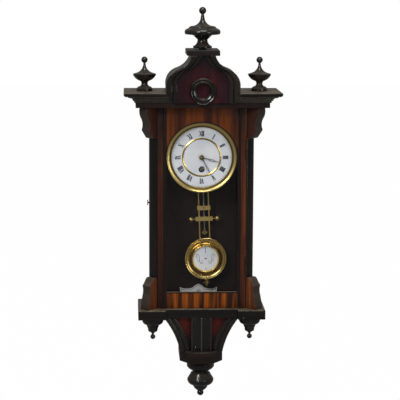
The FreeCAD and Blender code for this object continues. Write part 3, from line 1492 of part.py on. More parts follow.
def bob(z):
    """Lens-edged brass bob with a dished front that holds the enamel disc."""
    half, radius, dish = bob_half_thickness, bob_radius, bob_dish_radius
    enamel_rear = half - bob_dish_setback
    section = [(s[0] * radius, s[1] * half) + tuple(s[2:]) for s in bob_rear_shares + bob_front_shares]
    section += [(dish, enamel_rear + bob_enamel_thickness), (dish, enamel_rear), (0, enamel_rear)]
    return turned_ring(section, 0, pendulum_depth, z, out)


def beat_scale():
    """Beat scale on the backboard, with a raised middle point and a screw hole."""
    rear = backboard_thickness
    top = beat_scale_top_z
    low = top - beat_scale_height
    half, body = beat_scale_half_width, beat_scale_body_half_width
    right = [(s[0] * half, top - s[1] * beat_scale_tip_drop) + tuple(s[2:]) for s in beat_scale_shares]
    left = [(-p[0], p[1]) + tuple(p[2:]) for p in reversed(right[1:])]
    outline = right + [(body, low), (-body, low)] + left
    plate = face(outline, front(rear)).extrude(outward(beat_scale_thickness))
    hole_z = top - beat_scale_hole_drop
    plate = plate.cut(rod(beat_scale_hole_radius, vec(0, 0, hole_z), vec(0, rear * 2, hole_z)))
    plate.translate(vec(beat_scale_x, 0, 0))
    keep("beat_scale", plate)


def main():
    carcass()
    hinges()
    door()
    latch()
    cornice()
    pediment()
    brackets()
    plinth()
    console()
    frame()
    going_train()
    click()
    anchor()
    motion_work()
    dial()
    pendulum()
    beat_scale()
    os.makedirs("parts", exist_ok=True)
    for name, shape in nodes.items():
        shape.exportStep("parts/" + name + ".step")
        print(name, len(shape.Solids), round(shape.Volume), shape.isValid())


main()
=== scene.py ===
# %% [markdown]
# # A Vienna regulator wall clock
# The clock is already built as a frame: every board, wheel and rod is a node that
# sits where it belongs. This lesson dresses that frame. It gives each node a real
# finish, adds what is too fine for the frame, such as the numerals, a screw and the
# engraving, and lights the clock like a studio photograph.

# %% Load the frame
import bpy
import bmesh
import math
from mathutils import Matrix, Vector


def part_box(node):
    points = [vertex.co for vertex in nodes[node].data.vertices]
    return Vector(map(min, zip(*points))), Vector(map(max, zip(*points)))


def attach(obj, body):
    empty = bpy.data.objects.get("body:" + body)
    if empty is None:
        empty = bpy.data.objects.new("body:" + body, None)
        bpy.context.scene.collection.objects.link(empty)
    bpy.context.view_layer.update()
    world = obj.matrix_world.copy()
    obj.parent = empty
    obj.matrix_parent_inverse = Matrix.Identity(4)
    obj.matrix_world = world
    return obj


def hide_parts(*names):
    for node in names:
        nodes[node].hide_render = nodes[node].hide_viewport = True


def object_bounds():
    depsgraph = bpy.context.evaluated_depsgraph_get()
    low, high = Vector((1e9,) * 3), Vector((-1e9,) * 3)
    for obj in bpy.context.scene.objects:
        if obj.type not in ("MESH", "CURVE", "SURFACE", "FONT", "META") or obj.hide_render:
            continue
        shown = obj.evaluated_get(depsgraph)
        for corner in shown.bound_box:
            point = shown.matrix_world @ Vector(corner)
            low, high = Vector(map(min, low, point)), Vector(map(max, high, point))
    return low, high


def rounded(values):
    """Lengths in metres, short enough to print."""
    return [round(value, 4) for value in values]


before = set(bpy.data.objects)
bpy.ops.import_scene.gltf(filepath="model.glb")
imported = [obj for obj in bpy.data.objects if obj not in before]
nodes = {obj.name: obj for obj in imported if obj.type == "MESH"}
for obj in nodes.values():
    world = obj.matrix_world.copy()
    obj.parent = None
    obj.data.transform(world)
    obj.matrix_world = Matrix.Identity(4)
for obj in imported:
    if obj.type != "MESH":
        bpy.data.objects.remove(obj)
frame_low, frame_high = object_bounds()
print("nodes in the frame:", len(nodes))
print("frame box:", rounded((*frame_low, *frame_high)))

# %% [markdown]
# ## The camera
# The photograph was taken from a little above the middle of the clock and a little
# to its left. A long lens at that place keeps the upright lines upright.

# %% Camera at the photograph's angle
CAMERA_PLACE = (-0.17149, -3.51001, 0.32695)
CAMERA_TURN = 0.0490609
CAMERA_TILT = -0.1573759
CAMERA_ROLL = 0.00434931
SENSOR_WIDTH = 36.0
LENS = 129.65

camera_data = bpy.data.cameras.new("studio_camera")
camera_data.sensor_width = SENSOR_WIDTH
camera_data.lens = LENS
camera = bpy.data.objects.new("studio_camera", camera_data)
bpy.context.scene.collection.objects.link(camera)
aim = Matrix.Rotation(-CAMERA_TURN, 4, "Z") @ Matrix.Rotation(math.pi / 2 + CAMERA_TILT, 4, "X")
camera.matrix_world = Matrix.Translation(CAMERA_PLACE) @ aim @ Matrix.Rotation(CAMERA_ROLL, 4, "Z")
bpy.context.scene.camera = camera
bpy.context.scene.view_settings.view_transform = "Standard"
print("camera at", CAMERA_PLACE, "with a lens of", LENS, "mm")

# %% [markdown]
# ## Node helpers
# Materials, the floor and the world are all small networks of nodes. Each of these
# helpers places one node, so that a network reads like a sum.

# %% Place and link nodes
def fill_node(tree, node, inputs):
    """Gives each input a plain value, or links another node's output to it."""
    for label, value in inputs.items():
        if isinstance(value, (int, float, tuple)):
            node.inputs[label].default_value = value
        else:
            tree.links.new(value, node.inputs[label])
    return node


def place_node(tree, kind, inputs=None, **values):
    """Adds a node; values are named like its inputs, with _ for a space."""
    named = {label.replace("_", " "): value for label, value in values.items()}
    return fill_node(tree, tree.nodes.new(kind), {**(inputs or {}), **named})


def maths(tree, operation, *terms, clamp=False):
    """A Math node; its terms are outputs or numbers."""
    node = tree.nodes.new("ShaderNodeMath")
    node.operation = operation
    node.use_clamp = clamp
    return fill_node(tree, node, dict(enumerate(terms))).outputs[0]


def blend_colour(tree, share, first, second, mode="MIX"):
    """A colour mix; share, first and second are outputs or values."""
    node = tree.nodes.new("ShaderNodeMix")
    node.data_type = "RGBA"
    node.blend_type = mode
    return fill_node(tree, node, {0: share, 6: first, 7: second}).outputs[2]


def mix_shaders(tree, share, first, second):
    """A mix of two shaders, all second where the share is 1."""
    return place_node(tree, "ShaderNodeMixShader", {0: share, 1: first, 2: second}).outputs[0]


def stretch_range(tree, value, low, high, most=1.0):
    """Maps low to 0 and high to the most, and holds the value at both ends."""
    limits = {"From Min": low, "From Max": high, "To Max": most}
    return place_node(tree, "ShaderNodeMapRange", {"Value": value, **limits}).outputs[0]


def ramp(tree, source, stops):
    """A colour ramp; stops are (position, colour)."""
    node = tree.nodes.new("ShaderNodeValToRGB")
    elements = node.color_ramp.elements
    for index, (position, colour) in enumerate(stops):
        if index < 2:
            element = elements[index]
            element.position = position
        else:
            element = elements.new(position)
        element.color = (*colour, 1)
    tree.links.new(source, node.inputs[0])
    return node.outputs[0]


print("node helpers ready")

# %% [markdown]
# ## Studio
# A pale floor lies below the clock. The world is a soft room: light from above,
# a little less from the sides, and white where the camera looks past the clock.
# Polish and brass see both as a dim grey, or black wood would look milky.

# %% Floor and room
FLOOR_DROP = 0.16
FLOOR_SIZE = 24.0
FLOOR_WHITE_SHARE = 0.99
MIRROR_WHITE_SHARE = 0.15
PAPER_COLOUR = (0.86, 0.86, 0.86, 1)
PAPER_ROUGHNESS = 0.9
ROOM_STOPS = ((0.25, (0.34, 0.35, 0.36)), (0.85, (0.76, 0.78, 0.82)))
ROOM_STRENGTH = 0.3


def white_backdrop(tree, shader, white, share):
    """Covers a shader with white, and with a dim grey where it is seen in a reflection."""
    path = tree.nodes.new("ShaderNodeLightPath").outputs
    seen = maths(tree, "MAXIMUM", path["Is Camera Ray"], path["Is Transmission Ray"])
    level = maths(tree, "MAXIMUM", seen, MIRROR_WHITE_SHARE)
    tree.links.new(level, white.inputs["Strength"])
    covered = maths(tree, "MAXIMUM", seen, path["Is Glossy Ray"])
    return mix_shaders(tree, maths(tree, "MULTIPLY", covered, share), shader, white.outputs[0])


def make_floor():
    """A wide pale floor that keeps the clock's soft shadow."""
    bpy.ops.object.select_all(action="DESELECT")
    level = frame_low.z - FLOOR_DROP
    bpy.ops.mesh.primitive_plane_add(size=FLOOR_SIZE, location=(0, 0, level))
    floor = bpy.context.object
    floor.name = "studio_floor"
    material = bpy.data.materials.new("floor_paper")
    material.use_nodes = True
    tree = material.node_tree
    paper = tree.nodes["Principled BSDF"]
    paper.inputs["Base Color"].default_value = PAPER_COLOUR
    paper.inputs["Roughness"].default_value = PAPER_ROUGHNESS
    output = tree.nodes["Material Output"]
    white = tree.nodes.new("ShaderNodeEmission")
    tree.links.new(white_backdrop(tree, paper.outputs[0], white, FLOOR_WHITE_SHARE), output.inputs[0])
    floor.data.materials.append(material)


def make_room():
    """A world that is brighter overhead, and white to the camera."""
    world = bpy.data.worlds.new("soft_room")
    bpy.context.scene.world = world
    world.use_nodes = True
    tree = world.node_tree
    tree.nodes.clear()
    place = tree.nodes.new("ShaderNodeTexCoord")
    split = place_node(tree, "ShaderNodeSeparateXYZ", {0: place.outputs["Generated"]})
    colour = ramp(tree, stretch_range(tree, split.outputs["Z"], -1, 1), ROOM_STOPS)
    room = place_node(tree, "ShaderNodeBackground", {"Color": colour}, Strength=ROOM_STRENGTH)
    white = place_node(tree, "ShaderNodeBackground", Color=(1, 1, 1, 1))
    output = tree.nodes.new("ShaderNodeOutputWorld")
    tree.links.new(white_backdrop(tree, room.outputs[0], white, 1.0), output.inputs[0])


make_floor()
make_room()
print("floor and room made")

# %% [markdown]
# ## Lamps
# Two large soft boxes stand in front, the stronger one high on the left. A third
# one hangs overhead, which is what makes the tops of the mouldings and the upper
# edge of the brass shine.

# %% Soft boxes
LAMPS = {
    "key_box": ((-1.3, -2.4, 1.3), 0.8, 26.0),
    "fill_box": ((1.7, -2.3, 0.2), 0.9, 9.0),
    "top_box": ((0.1, -0.9, 1.5), 0.8, 12.0),
}
LAMP_AIM = Vector((0.0, -0.08, -0.2))


def add_lamp(name, place, size, power):
    """A square soft box that faces the clock."""
    light = bpy.data.lights.new(name, "AREA")
    light.size = size
    light.energy = power
    lamp = bpy.data.objects.new(name, light)
    bpy.context.scene.collection.objects.link(lamp)
    lamp.location = place
    lamp.rotation_mode = "QUATERNION"
    lamp.rotation_quaternion = (LAMP_AIM - Vector(place)).to_track_quat("-Z", "Y")


for lamp_name, (lamp_place, lamp_size, lamp_power) in LAMPS.items():
    add_lamp(lamp_name, lamp_place, lamp_size, lamp_power)
print("lamps:", ", ".join(LAMPS))

# %% [markdown]
# ## Shared effects
# Several finishes share the same effects: the figure of wood, dust that settles on
# top faces, and the clouded film on handled metal. Each is built once as a node
# group with its own sockets and then placed in every material that needs it.

# %% Node group helper
def new_group(name, inputs, outputs):
    """A shader node group: inputs are (name, kind, value), and outputs are plain names."""
    group = bpy.data.node_groups.new(name, "ShaderNodeTree")
    for label, kind, value in inputs:
        socket = group.interface.new_socket(label, in_out="INPUT", socket_type=kind)
        if value is not None:
            socket.default_value = value
    for label in outputs:
        group.interface.new_socket(label, in_out="OUTPUT", socket_type="NodeSocketFloat")
    start = group.nodes.new("NodeGroupInput")
    end = group.nodes.new("NodeGroupOutput")
    return group, start.outputs, end.inputs


def place_noise(tree, place, inputs=None, **values):
    """A noise pattern from 0 to 1 at a place."""
    inputs = {"Vector": place, **(inputs or {})}
    return place_node(tree, "ShaderNodeTexNoise", inputs, **values).outputs[0]


print("group helpers ready")

# %% [markdown]
# ### Wood figure
# Wood shows two patterns at once: broad bands of colour, and fine fibres and pores.
# Both are noise that is stretched along the grain.

# %% Node group: wood figure
BAND_RANGE = (0.3, 0.7)


def make_wood_figure():
    """Bands and fibres of wood, both as values from 0 to 1."""
    group, start, end = new_group(
        "wood_figure",
        [("Place", "NodeSocketVector", None), ("Bands", "NodeSocketFloat", 40.0),
         ("Fibres", "NodeSocketFloat", 600.0), ("Wander", "NodeSocketFloat", 0.4)],
        ["Band", "Fibre"],
    )
    broad = place_noise(
        group, start["Place"], {"Scale": start["Bands"], "Distortion": start["Wander"]},
        Detail=3.0, Roughness=0.55)
    fine = place_noise(
        group, start["Place"], {"Scale": start["Fibres"]}, Detail=4.0, Roughness=0.65)
    group.links.new(stretch_range(group, broad, *BAND_RANGE), end["Band"])
    group.links.new(fine, end["Fibre"])
    return group


WOOD_FIGURE = make_wood_figure()
print("group:", WOOD_FIGURE.name)

# %% [markdown]
# ### Settled dust
# Old polish goes grey where dust lies, so this mask is strong on faces that look
# up and is broken by a cloudy noise.

# %% Node group: settled dust
UPWARD_RANGE = (0.15, 0.95)
DUST_CLOUD_RANGE = (0.2, 0.75)


def make_settled_dust():
    """A mask of dust on faces that look up."""
    group, start, end = new_group(
        "settled_dust",
        [("Place", "NodeSocketVector", None), ("Amount", "NodeSocketFloat", 0.6)],
        ["Dust"],
    )
    surface = group.nodes.new("ShaderNodeNewGeometry")
    split = place_node(group, "ShaderNodeSeparateXYZ", {0: surface.outputs["Normal"]})
    upward = stretch_range(group, split.outputs["Z"], *UPWARD_RANGE)
    clouds = place_noise(group, start["Place"], Scale=45.0, Detail=5.0, Roughness=0.6)
    broken = stretch_range(group, clouds, *DUST_CLOUD_RANGE)
    both = maths(group, "MULTIPLY", upward, broken)
    group.links.new(maths(group, "MULTIPLY", both, start["Amount"], clamp=True), end["Dust"])
    return group


SETTLED_DUST = make_settled_dust()
print("group:", SETTLED_DUST.name)

# %% [markdown]
# ### Clouded film
# Lacquered brass and polished wood are never evenly bright. This group gives broad
# clouds for tarnish and thin scratches for the roughness.

# %% Node group: clouded film
FILM_RANGE = (0.35, 0.7)


def make_clouded_film():
    """Clouds and scratches, both as values from 0 to 1."""
    group, start, end = new_group(
        "clouded_film",
        [("Place", "NodeSocketVector", None), ("Clouds", "NodeSocketFloat", 60.0),
         ("Scratches", "NodeSocketFloat", 700.0)],
        ["Cloud", "Scratch"],
    )
    broad = place_noise(
        group, start["Place"], {"Scale": start["Clouds"]}, Detail=6.0, Roughness=0.6, Distortion=0.3)
    fine = place_noise(
        group, start["Place"], {"Scale": start["Scratches"]}, Detail=3.0, Roughness=0.7, Distortion=1.5)
    group.links.new(stretch_range(group, broad, *FILM_RANGE), end["Cloud"])
    group.links.new(fine, end["Scratch"])
    return group


CLOUDED_FILM = make_clouded_film()
print("group:", CLOUDED_FILM.name)

# %% Material helpers
def new_material(name):
    """A material with one Principled shader, and its Object coordinates."""
    material = bpy.data.materials.new(name)
    material.use_nodes = True
    tree = material.node_tree
    shader = tree.nodes["Principled BSDF"]
    place = tree.nodes.new("ShaderNodeTexCoord").outputs["Object"]
    return material, tree, shader, place


def add_group(tree, group, inputs, **values):
    """Places a shared node group in a material."""
    node = tree.nodes.new("ShaderNodeGroup")
    node.node_tree = group
    return fill_node(tree, node, {**inputs, **values})


def add_bump(tree, shader, height, distance):
    """Raises the surface by a height pattern."""
    node = place_node(tree, "ShaderNodeBump", {"Height": height}, Strength=1.0, Distance=distance)
    tree.links.new(node.outputs[0], shader.inputs["Normal"])


print("material helpers ready")

# %% [markdown]
# ## Woods
# Ebonised pear, striped rosewood veneer, plain reddish stiles, crimson stained
# panels and the dark softwood inside are all one recipe with other colours: bands
# and fibres set the colour, polish sets the gloss, dust greys the top faces. The
# grain follows the length of each piece, so the recipe takes the grain's direction.
# Some pieces also change along the way: veneer darkens away from the light, which is
# painted shade, and pale lines on the pilaster are painted highlights on its arrises.
# A shade step is a small function that adds this.

# %% Shade steps
BROAD_FACE_RANGE = (1.2, 1.35)
HIGHLIGHT_CORE_SHARE = 1 / 3


def fade_by_distance(centre, near, far, far_colour, most=1.0):
    """A shade step: away from a place on the clock, the colour fades to another one."""
    def shade(tree, place, colour):
        reach = place_node(tree, "ShaderNodeVectorMath", {0: place})
        reach.operation = "DISTANCE"
        reach.inputs[1].default_value = centre
        fall = stretch_range(tree, reach.outputs["Value"], near, far, most)
        return blend_colour(tree, fall, colour, (*far_colour, 1))
    return shade


def in_turn(*steps):
    """A shade step made of several, the first one first."""
    def shade(tree, place, colour):
        for step in steps:
            colour = step(tree, place, colour)
        return colour
    return shade


def stain_board_edges(edge_colour):
    """A shade step: only the broad faces of a board set at 45 degrees keep their veneer."""
    def shade(tree, place, colour):
        split = place_node(tree, "ShaderNodeSeparateXYZ", {0: place})
        side = maths(tree, "SIGN", split.outputs["X"])
        surface = tree.nodes.new("ShaderNodeNewGeometry")
        normal = place_node(tree, "ShaderNodeSeparateXYZ", {0: surface.outputs["Normal"]})
        across = maths(tree, "MULTIPLY", side, normal.outputs["X"])
        total = maths(tree, "ABSOLUTE", maths(tree, "ADD", across, normal.outputs["Y"]))
        broad = stretch_range(tree, total, *BROAD_FACE_RANGE)
        return blend_colour(tree, broad, (*edge_colour, 1), colour)
    return shade


def paint_highlight_lines(places, half_width, highlight_colour):
    """A shade step: upright lines at some x values, painted pale as highlights on the arrises."""
    def shade(tree, place, colour):
        split = place_node(tree, "ShaderNodeSeparateXYZ", {0: place})
        nearest = half_width
        for x in places:
            gap = maths(tree, "ABSOLUTE", maths(tree, "SUBTRACT", split.outputs["X"], x))
            nearest = maths(tree, "MINIMUM", gap, nearest)
        line = stretch_range(tree, nearest, half_width, half_width * HIGHLIGHT_CORE_SHARE)
        return blend_colour(tree, line, colour, (*highlight_colour, 1))
    return shade


print("shade steps ready")

# %% Wood recipe
GRAIN_STRETCH = {"x": (0.05, 1.0, 1.0), "z": (1.0, 1.0, 0.05)}
WOOD_FIBRES = 500.0
STREAK_STOPS = ((0.3, (0.35, 0.32, 0.3)), (0.62, (1.0, 1.0, 1.0)))
DUST_COLOUR = (0.27, 0.215, 0.145, 1)
POLISH_CLOUDS = 35.0
POLISH_WEAR = 0.16
DUST_ROUGHNESS = 0.4
WOOD_SPECULAR = 0.22
POLISH_ROUGHNESS = 0.12
FINE_PORES = 0.00001
OPEN_PORES = 0.00003


def make_wood(name, stops, grain="z", bands=40.0, wander=0.4, polish=0.35, shine=0.2,
              dust=0.5, fibre_share=0.35, pore_depth=OPEN_PORES, shade=None):
    """A polished wood; stops give its band colours from dark to light."""
    material, tree, shader, place = new_material(name)
    stretch = place_node(tree, "ShaderNodeMapping", {"Vector": place})
    stretch.inputs["Scale"].default_value = GRAIN_STRETCH[grain]
    figure = add_group(
        tree, WOOD_FIGURE, {"Place": stretch.outputs[0]}, Bands=bands, Fibres=WOOD_FIBRES, Wander=wander)
    colour = ramp(tree, figure.outputs["Band"], stops)
    streak = ramp(tree, figure.outputs["Fibre"], STREAK_STOPS)
    grained = blend_colour(tree, fibre_share, colour, streak, "MULTIPLY")
    if shade:
        grained = shade(tree, place, grained)
    lying = add_group(tree, SETTLED_DUST, {"Place": place}, Amount=dust).outputs["Dust"]
    tree.links.new(blend_colour(tree, lying, grained, DUST_COLOUR), shader.inputs["Base Color"])
    film = add_group(tree, CLOUDED_FILM, {"Place": place}, Clouds=POLISH_CLOUDS)
    clouded = maths(tree, "MULTIPLY_ADD", film.outputs["Cloud"], POLISH_WEAR, polish)
    dulled = maths(tree, "MULTIPLY", lying, DUST_ROUGHNESS)
    tree.links.new(maths(tree, "ADD", clouded, dulled, clamp=True), shader.inputs["Roughness"])
    shader.inputs["Specular IOR Level"].default_value = WOOD_SPECULAR
    shader.inputs["Coat Weight"].default_value = shine
    shader.inputs["Coat Roughness"].default_value = POLISH_ROUGHNESS
    add_bump(tree, shader, figure.outputs["Fibre"], pore_depth)
    return material


print("wood recipe ready")

# %% Colours of the woods
BLACK_STOPS = ((0.0, (0.006, 0.005, 0.005)), (0.55, (0.011, 0.009, 0.008)), (1.0, (0.024, 0.016, 0.011)))
STRIPE_STOPS = (
    (0.0, (0.02, 0.008, 0.005)), (0.32, (0.045, 0.014, 0.006)), (0.5, (0.18, 0.04, 0.004)),
    (0.72, (0.4, 0.096, 0.005)), (1.0, (0.21, 0.044, 0.004)),
)
STILE_STOPS = ((0.0, (0.042, 0.012, 0.006)), (0.5, (0.1, 0.026, 0.01)), (1.0, (0.2, 0.055, 0.015)))
CRIMSON_STOPS = ((0.0, (0.016, 0.004, 0.006)), (0.5, (0.045, 0.006, 0.009)), (1.0, (0.09, 0.012, 0.012)))
# Lighter than the black: partly wear, partly painted sheen.
WEAR_AND_SHEEN_STOPS = ((0.0, (0.008, 0.007, 0.006)), (0.5, (0.014, 0.0125, 0.01)), (1.0, (0.03, 0.027, 0.02)))
# Pale olive: a painted sheen, the band of light along the cornice's cove.
COVE_STOPS = ((0.0, (0.022, 0.02, 0.014)), (0.5, (0.042, 0.038, 0.027)), (1.0, (0.08, 0.072, 0.05)))
CONSOLE_STOPS = ((0.0, (0.025, 0.004, 0.003)), (0.5, (0.07, 0.008, 0.005)), (1.0, (0.12, 0.014, 0.007)))
INSIDE_STOPS = ((0.0, (0.014, 0.007, 0.005)), (0.6, (0.024, 0.011, 0.008)), (1.0, (0.042, 0.018, 0.012)))
BLOCK_STOPS = ((0.0, (0.009, 0.006, 0.005)), (0.6, (0.02, 0.01, 0.008)), (1.0, (0.04, 0.017, 0.011)))
BRACKET_STOPS = ((0.0, (0.06, 0.018, 0.007)), (0.5, (0.15, 0.042, 0.011)), (1.0, (0.26, 0.078, 0.018)))
PLINTH_PLACE = (0.0, -0.1, -0.44)
RIGHT_STILE_PLACE = (0.12, -0.11, -0.25)
ROUNDEL_PLACE = (0.0, -0.15, 0.05)
CONSOLE_TOP_PLACE = (0.0, -0.108, -0.49)
PILASTER_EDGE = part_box("pilaster")[1].x
PILASTER_LINES = (-PILASTER_EDGE, 0.0, PILASTER_EDGE)
LINE_HALF_WIDTH = 0.0018
HIGHLIGHT_GREY = (0.055, 0.052, 0.044)
PANEL_SHADOW = (0.01, 0.006, 0.008)
BOARD_POLISH = {"polish": 0.24, "shine": 0.35}
TURNED_POLISH = {"dust": 0.32, "polish": 0.18, "shine": 0.8, "pore_depth": FINE_PORES}

print("pilaster's edge:", round(PILASTER_EDGE, 4))

# %% Woods
ebonised_upright = make_wood("ebonised_upright", BLACK_STOPS, **BOARD_POLISH)
ebonised_across = make_wood("ebonised_across", BLACK_STOPS, "x", dust=1.0, **BOARD_POLISH)
ebonised_clean = make_wood("ebonised_clean", BLACK_STOPS, "x", dust=0.1, **BOARD_POLISH)
# The console's mouldings: a lighter black, partly wear and partly painted sheen where light catches their
# curves.
wear_and_sheen_black = make_wood("wear_and_sheen_black", WEAR_AND_SHEEN_STOPS, polish=0.2, shine=0.8, pore_depth=FINE_PORES)
# The cornice's cove: its pale colour is a painted sheen along the cove.
cove_black = make_wood(
    "cove_black", COVE_STOPS, "x", dust=1.0, polish=0.16, shine=1.0, pore_depth=FINE_PORES)
ebonised_turned = make_wood("ebonised_turned", BLACK_STOPS, **TURNED_POLISH)
# The pale upright lines on the pilaster are painted highlights where light catches its arrises.
pilaster_black = make_wood(
    "pilaster_black", BLACK_STOPS, **TURNED_POLISH,
    shade=paint_highlight_lines(PILASTER_LINES, LINE_HALF_WIDTH, HIGHLIGHT_GREY))
# The rails darken away from the plinth, so the upper rail is darker: painted shade.
rosewood_stripes = make_wood(
    "rosewood_stripes", STRIPE_STOPS, bands=62.0, wander=0.25, polish=0.26, shine=0.1,
    dust=0.3, fibre_share=0.5, shade=fade_by_distance(PLINTH_PLACE, 0.2, 0.34, (0.06, 0.017, 0.009), 0.62))
# The stiles darken away from the right stile, so the left one is darker: painted shade.
stile_veneer = make_wood(
    "stile_veneer", STILE_STOPS, bands=90.0, polish=0.28, dust=0.2, fibre_share=0.5,
    shade=fade_by_distance(RIGHT_STILE_PLACE, 0.13, 0.3, (0.022, 0.009, 0.006), 0.92))
# Twice the dust on the bead: dust, and also a painted highlight along the top of the lower bead.
bead_black = make_wood("bead_black", BLACK_STOPS, dust=2.0, polish=0.3)
side_veneer = make_wood(
    "side_veneer", STILE_STOPS, bands=60.0, polish=0.3, shine=0.4, dust=0.2, fibre_share=0.5)
crimson_panel = make_wood(
    "crimson_panel", CRIMSON_STOPS, bands=30.0, polish=0.25, shine=0.3, dust=0.1,
    shade=fade_by_distance(ROUNDEL_PLACE, 0.032, 0.075, PANEL_SHADOW))
console_red = make_wood(
    "console_red", CONSOLE_STOPS, bands=30.0, polish=0.25, shine=0.1, dust=0.1,
    shade=fade_by_distance(CONSOLE_TOP_PLACE, 0.045, 0.075, PANEL_SHADOW))
# The brackets darken away from the plinth, so the upper ones are darker: painted shade.
bracket_veneer = make_wood(
    "bracket_veneer", BRACKET_STOPS, bands=70.0, polish=0.3, shine=0.3, fibre_share=0.5,
    shade=in_turn(
        fade_by_distance(PLINTH_PLACE, 0.2, 0.4, (0.055, 0.016, 0.009)),
        stain_board_edges((0.045, 0.033, 0.026))))
inside_wood = make_wood("inside_wood", INSIDE_STOPS, bands=30.0, polish=0.5, shine=0.05, dust=0.2)
block_veneer = make_wood("block_veneer", BLOCK_STOPS, "x", polish=0.3, dust=0.3)
print("woods ready, from", ebonised_upright.name, "to", block_veneer.name)

# %% [markdown]
# ## Metals, enamel and glass
# Brass is a metal with a warm colour that darkens where the lacquer has clouded.
# The plates of the movement are duller than the turned bezel and the bob. Steel
# arbors are grey, the minute hand and the suspension spring are blued by heat, the
# hour hand has gone brown, and the iron parts at the back are dark. Enamel is glass
# fused on copper, white with a wet gloss.

# %% Metal recipe
SCRATCH_ROUGHNESS = 0.04
FINE_LINES = 0.00001


def clouded_material(name, clouds, fresh, worn, shade=None):
    """A material whose colour clouds from fresh to worn, with its film's two values."""
    material, tree, shader, place = new_material(name)
    film = add_group(tree, CLOUDED_FILM, {"Place": place}, Clouds=clouds).outputs
    colour = blend_colour(tree, film["Cloud"], (*fresh, 1), (*worn, 1))
    if shade:
        colour = shade(tree, place, colour)
    tree.links.new(colour, shader.inputs["Base Color"])
    return material, tree, shader, film


def make_metal(name, bright, dull, polish, roughness_range=0.15, clouds=60.0, lines=0.0, shade=None):
    """A bare or lacquered metal that clouds between two colours."""
    material, tree, shader, film = clouded_material(name, clouds, bright, dull, shade)
    shader.inputs["Metallic"].default_value = 1.0
    worn = maths(tree, "MULTIPLY_ADD", film["Cloud"], roughness_range, polish)
    scored = maths(tree, "MULTIPLY_ADD", film["Scratch"], SCRATCH_ROUGHNESS, worn)
    tree.links.new(scored, shader.inputs["Roughness"])
    if lines:
        add_bump(tree, shader, film["Scratch"], lines)
    return material


print("metal recipe ready")

# %% [markdown]
# ### Rings of painted light, and rings of another colour
# A turned piece is one node, but its rings catch the light differently. The shade
# steps below are centred on such pieces, and their distances are the radii of rings.
# On the bob and the bezel they paint light and shade; on the rod and the dial's rings
# they change the metal's colour.

# %% Metals
TURNED = {"roughness_range": 0.08, "clouds": 30.0}
BOB_PLACE = (0.0124, -0.042, -0.3667)
ARROW_PLACE = (0.0097, -0.036, -0.3018)
DIAL_PLACE = (0.0, -0.0885, -0.113)
WINDING_PLACE = (0.0, -0.0885, -0.142)
BEZEL_FOOT_PLACE = (0.0, -0.0885, -0.19)

# A darker band across the bob's ring, about 36 to 45 mm out: painted reflection of the dark case.
bright_brass = make_metal(
    "bright_brass", (0.92, 0.68, 0.24), (0.74, 0.51, 0.15), 0.2, **TURNED,
    shade=in_turn(
        fade_by_distance(BOB_PLACE, 0.0335, 0.036, (0.5, 0.3, 0.06)),
        fade_by_distance(BOB_PLACE, 0.0425, 0.045, (0.92, 0.7, 0.26))))
ring_brass = make_metal(
    "ring_brass", (0.16, 0.115, 0.05), (0.09, 0.06, 0.03), 0.18, **TURNED,
    shade=fade_by_distance(WINDING_PLACE, 0.009, 0.011, (0.74, 0.53, 0.17)))
plate_brass = make_metal(
    "plate_brass", (0.7, 0.5, 0.2), (0.42, 0.27, 0.09), 0.26, lines=FINE_LINES)
# The bezel is bright at its foot and darker towards its top, with a bright outer rim: painted light and a
# painted highlight.
bezel_brass = make_metal(
    "bezel_brass", (0.62, 0.43, 0.12), (0.48, 0.32, 0.08), 0.26, **TURNED,
    shade=in_turn(
        fade_by_distance(BEZEL_FOOT_PLACE, 0.02, 0.09, (0.24, 0.155, 0.04)),
        fade_by_distance(DIAL_PLACE, 0.0755, 0.0785, (0.93, 0.7, 0.25))))
satin_brass = make_metal(
    "satin_brass", (0.86, 0.64, 0.24), (0.66, 0.46, 0.15), 0.38, lines=FINE_LINES)
aged_brass = make_metal("aged_brass", (0.42, 0.29, 0.12), (0.17, 0.11, 0.05), 0.34)
hook_brass = make_metal("hook_brass", (0.13, 0.09, 0.045), (0.06, 0.042, 0.025), 0.4)
grey_steel = make_metal("grey_steel", (0.52, 0.51, 0.49), (0.3, 0.28, 0.26), 0.2)
rod_steel = make_metal(
    "rod_steel", (0.62, 0.45, 0.16), (0.45, 0.31, 0.1), 0.16,
    shade=fade_by_distance(ARROW_PLACE, 0.0095, 0.0105, (0.4, 0.39, 0.37)))
hand_bronze = make_metal("hand_bronze", (0.34, 0.26, 0.16), (0.2, 0.14, 0.08), 0.3)
blued_steel = make_metal("blued_steel", (0.045, 0.05, 0.085), (0.02, 0.02, 0.03), 0.2)
black_iron = make_metal("black_iron", (0.1, 0.095, 0.09), (0.06, 0.045, 0.035), 0.45)
print("metals ready")

# %% Enamel, glass and paint
ENAMEL_RIPPLE = 0.00002
ENAMEL_CLOUDS = 25.0
ENAMEL_SHINE = 0.6
ENAMEL_SHINE_ROUGHNESS = 0.05
ENAMEL_ROUGHNESS = 0.1
ENAMEL_WEAR = 0.06
GLASS_TINT = (0.985, 0.99, 0.985, 1)
GLASS_IOR = 1.46
GLASS_SPECULAR = 0.12
GLASS_SMEAR = 0.02
GLASS_CLOUDS = 12.0
PAINT_CLOUDS = 180.0
PAINT_WEAR = 0.2


def make_enamel(name, white, grey, shade=None):
    """White fired enamel with a faint ripple and a few grey clouds."""
    material, tree, shader, film = clouded_material(name, ENAMEL_CLOUDS, white, grey, shade)
    rough = maths(tree, "MULTIPLY_ADD", film["Cloud"], ENAMEL_WEAR, ENAMEL_ROUGHNESS)
    tree.links.new(rough, shader.inputs["Roughness"])
    shader.inputs["Coat Weight"].default_value = ENAMEL_SHINE
    shader.inputs["Coat Roughness"].default_value = ENAMEL_SHINE_ROUGHNESS
    add_bump(tree, shader, film["Cloud"], ENAMEL_RIPPLE)
    return material


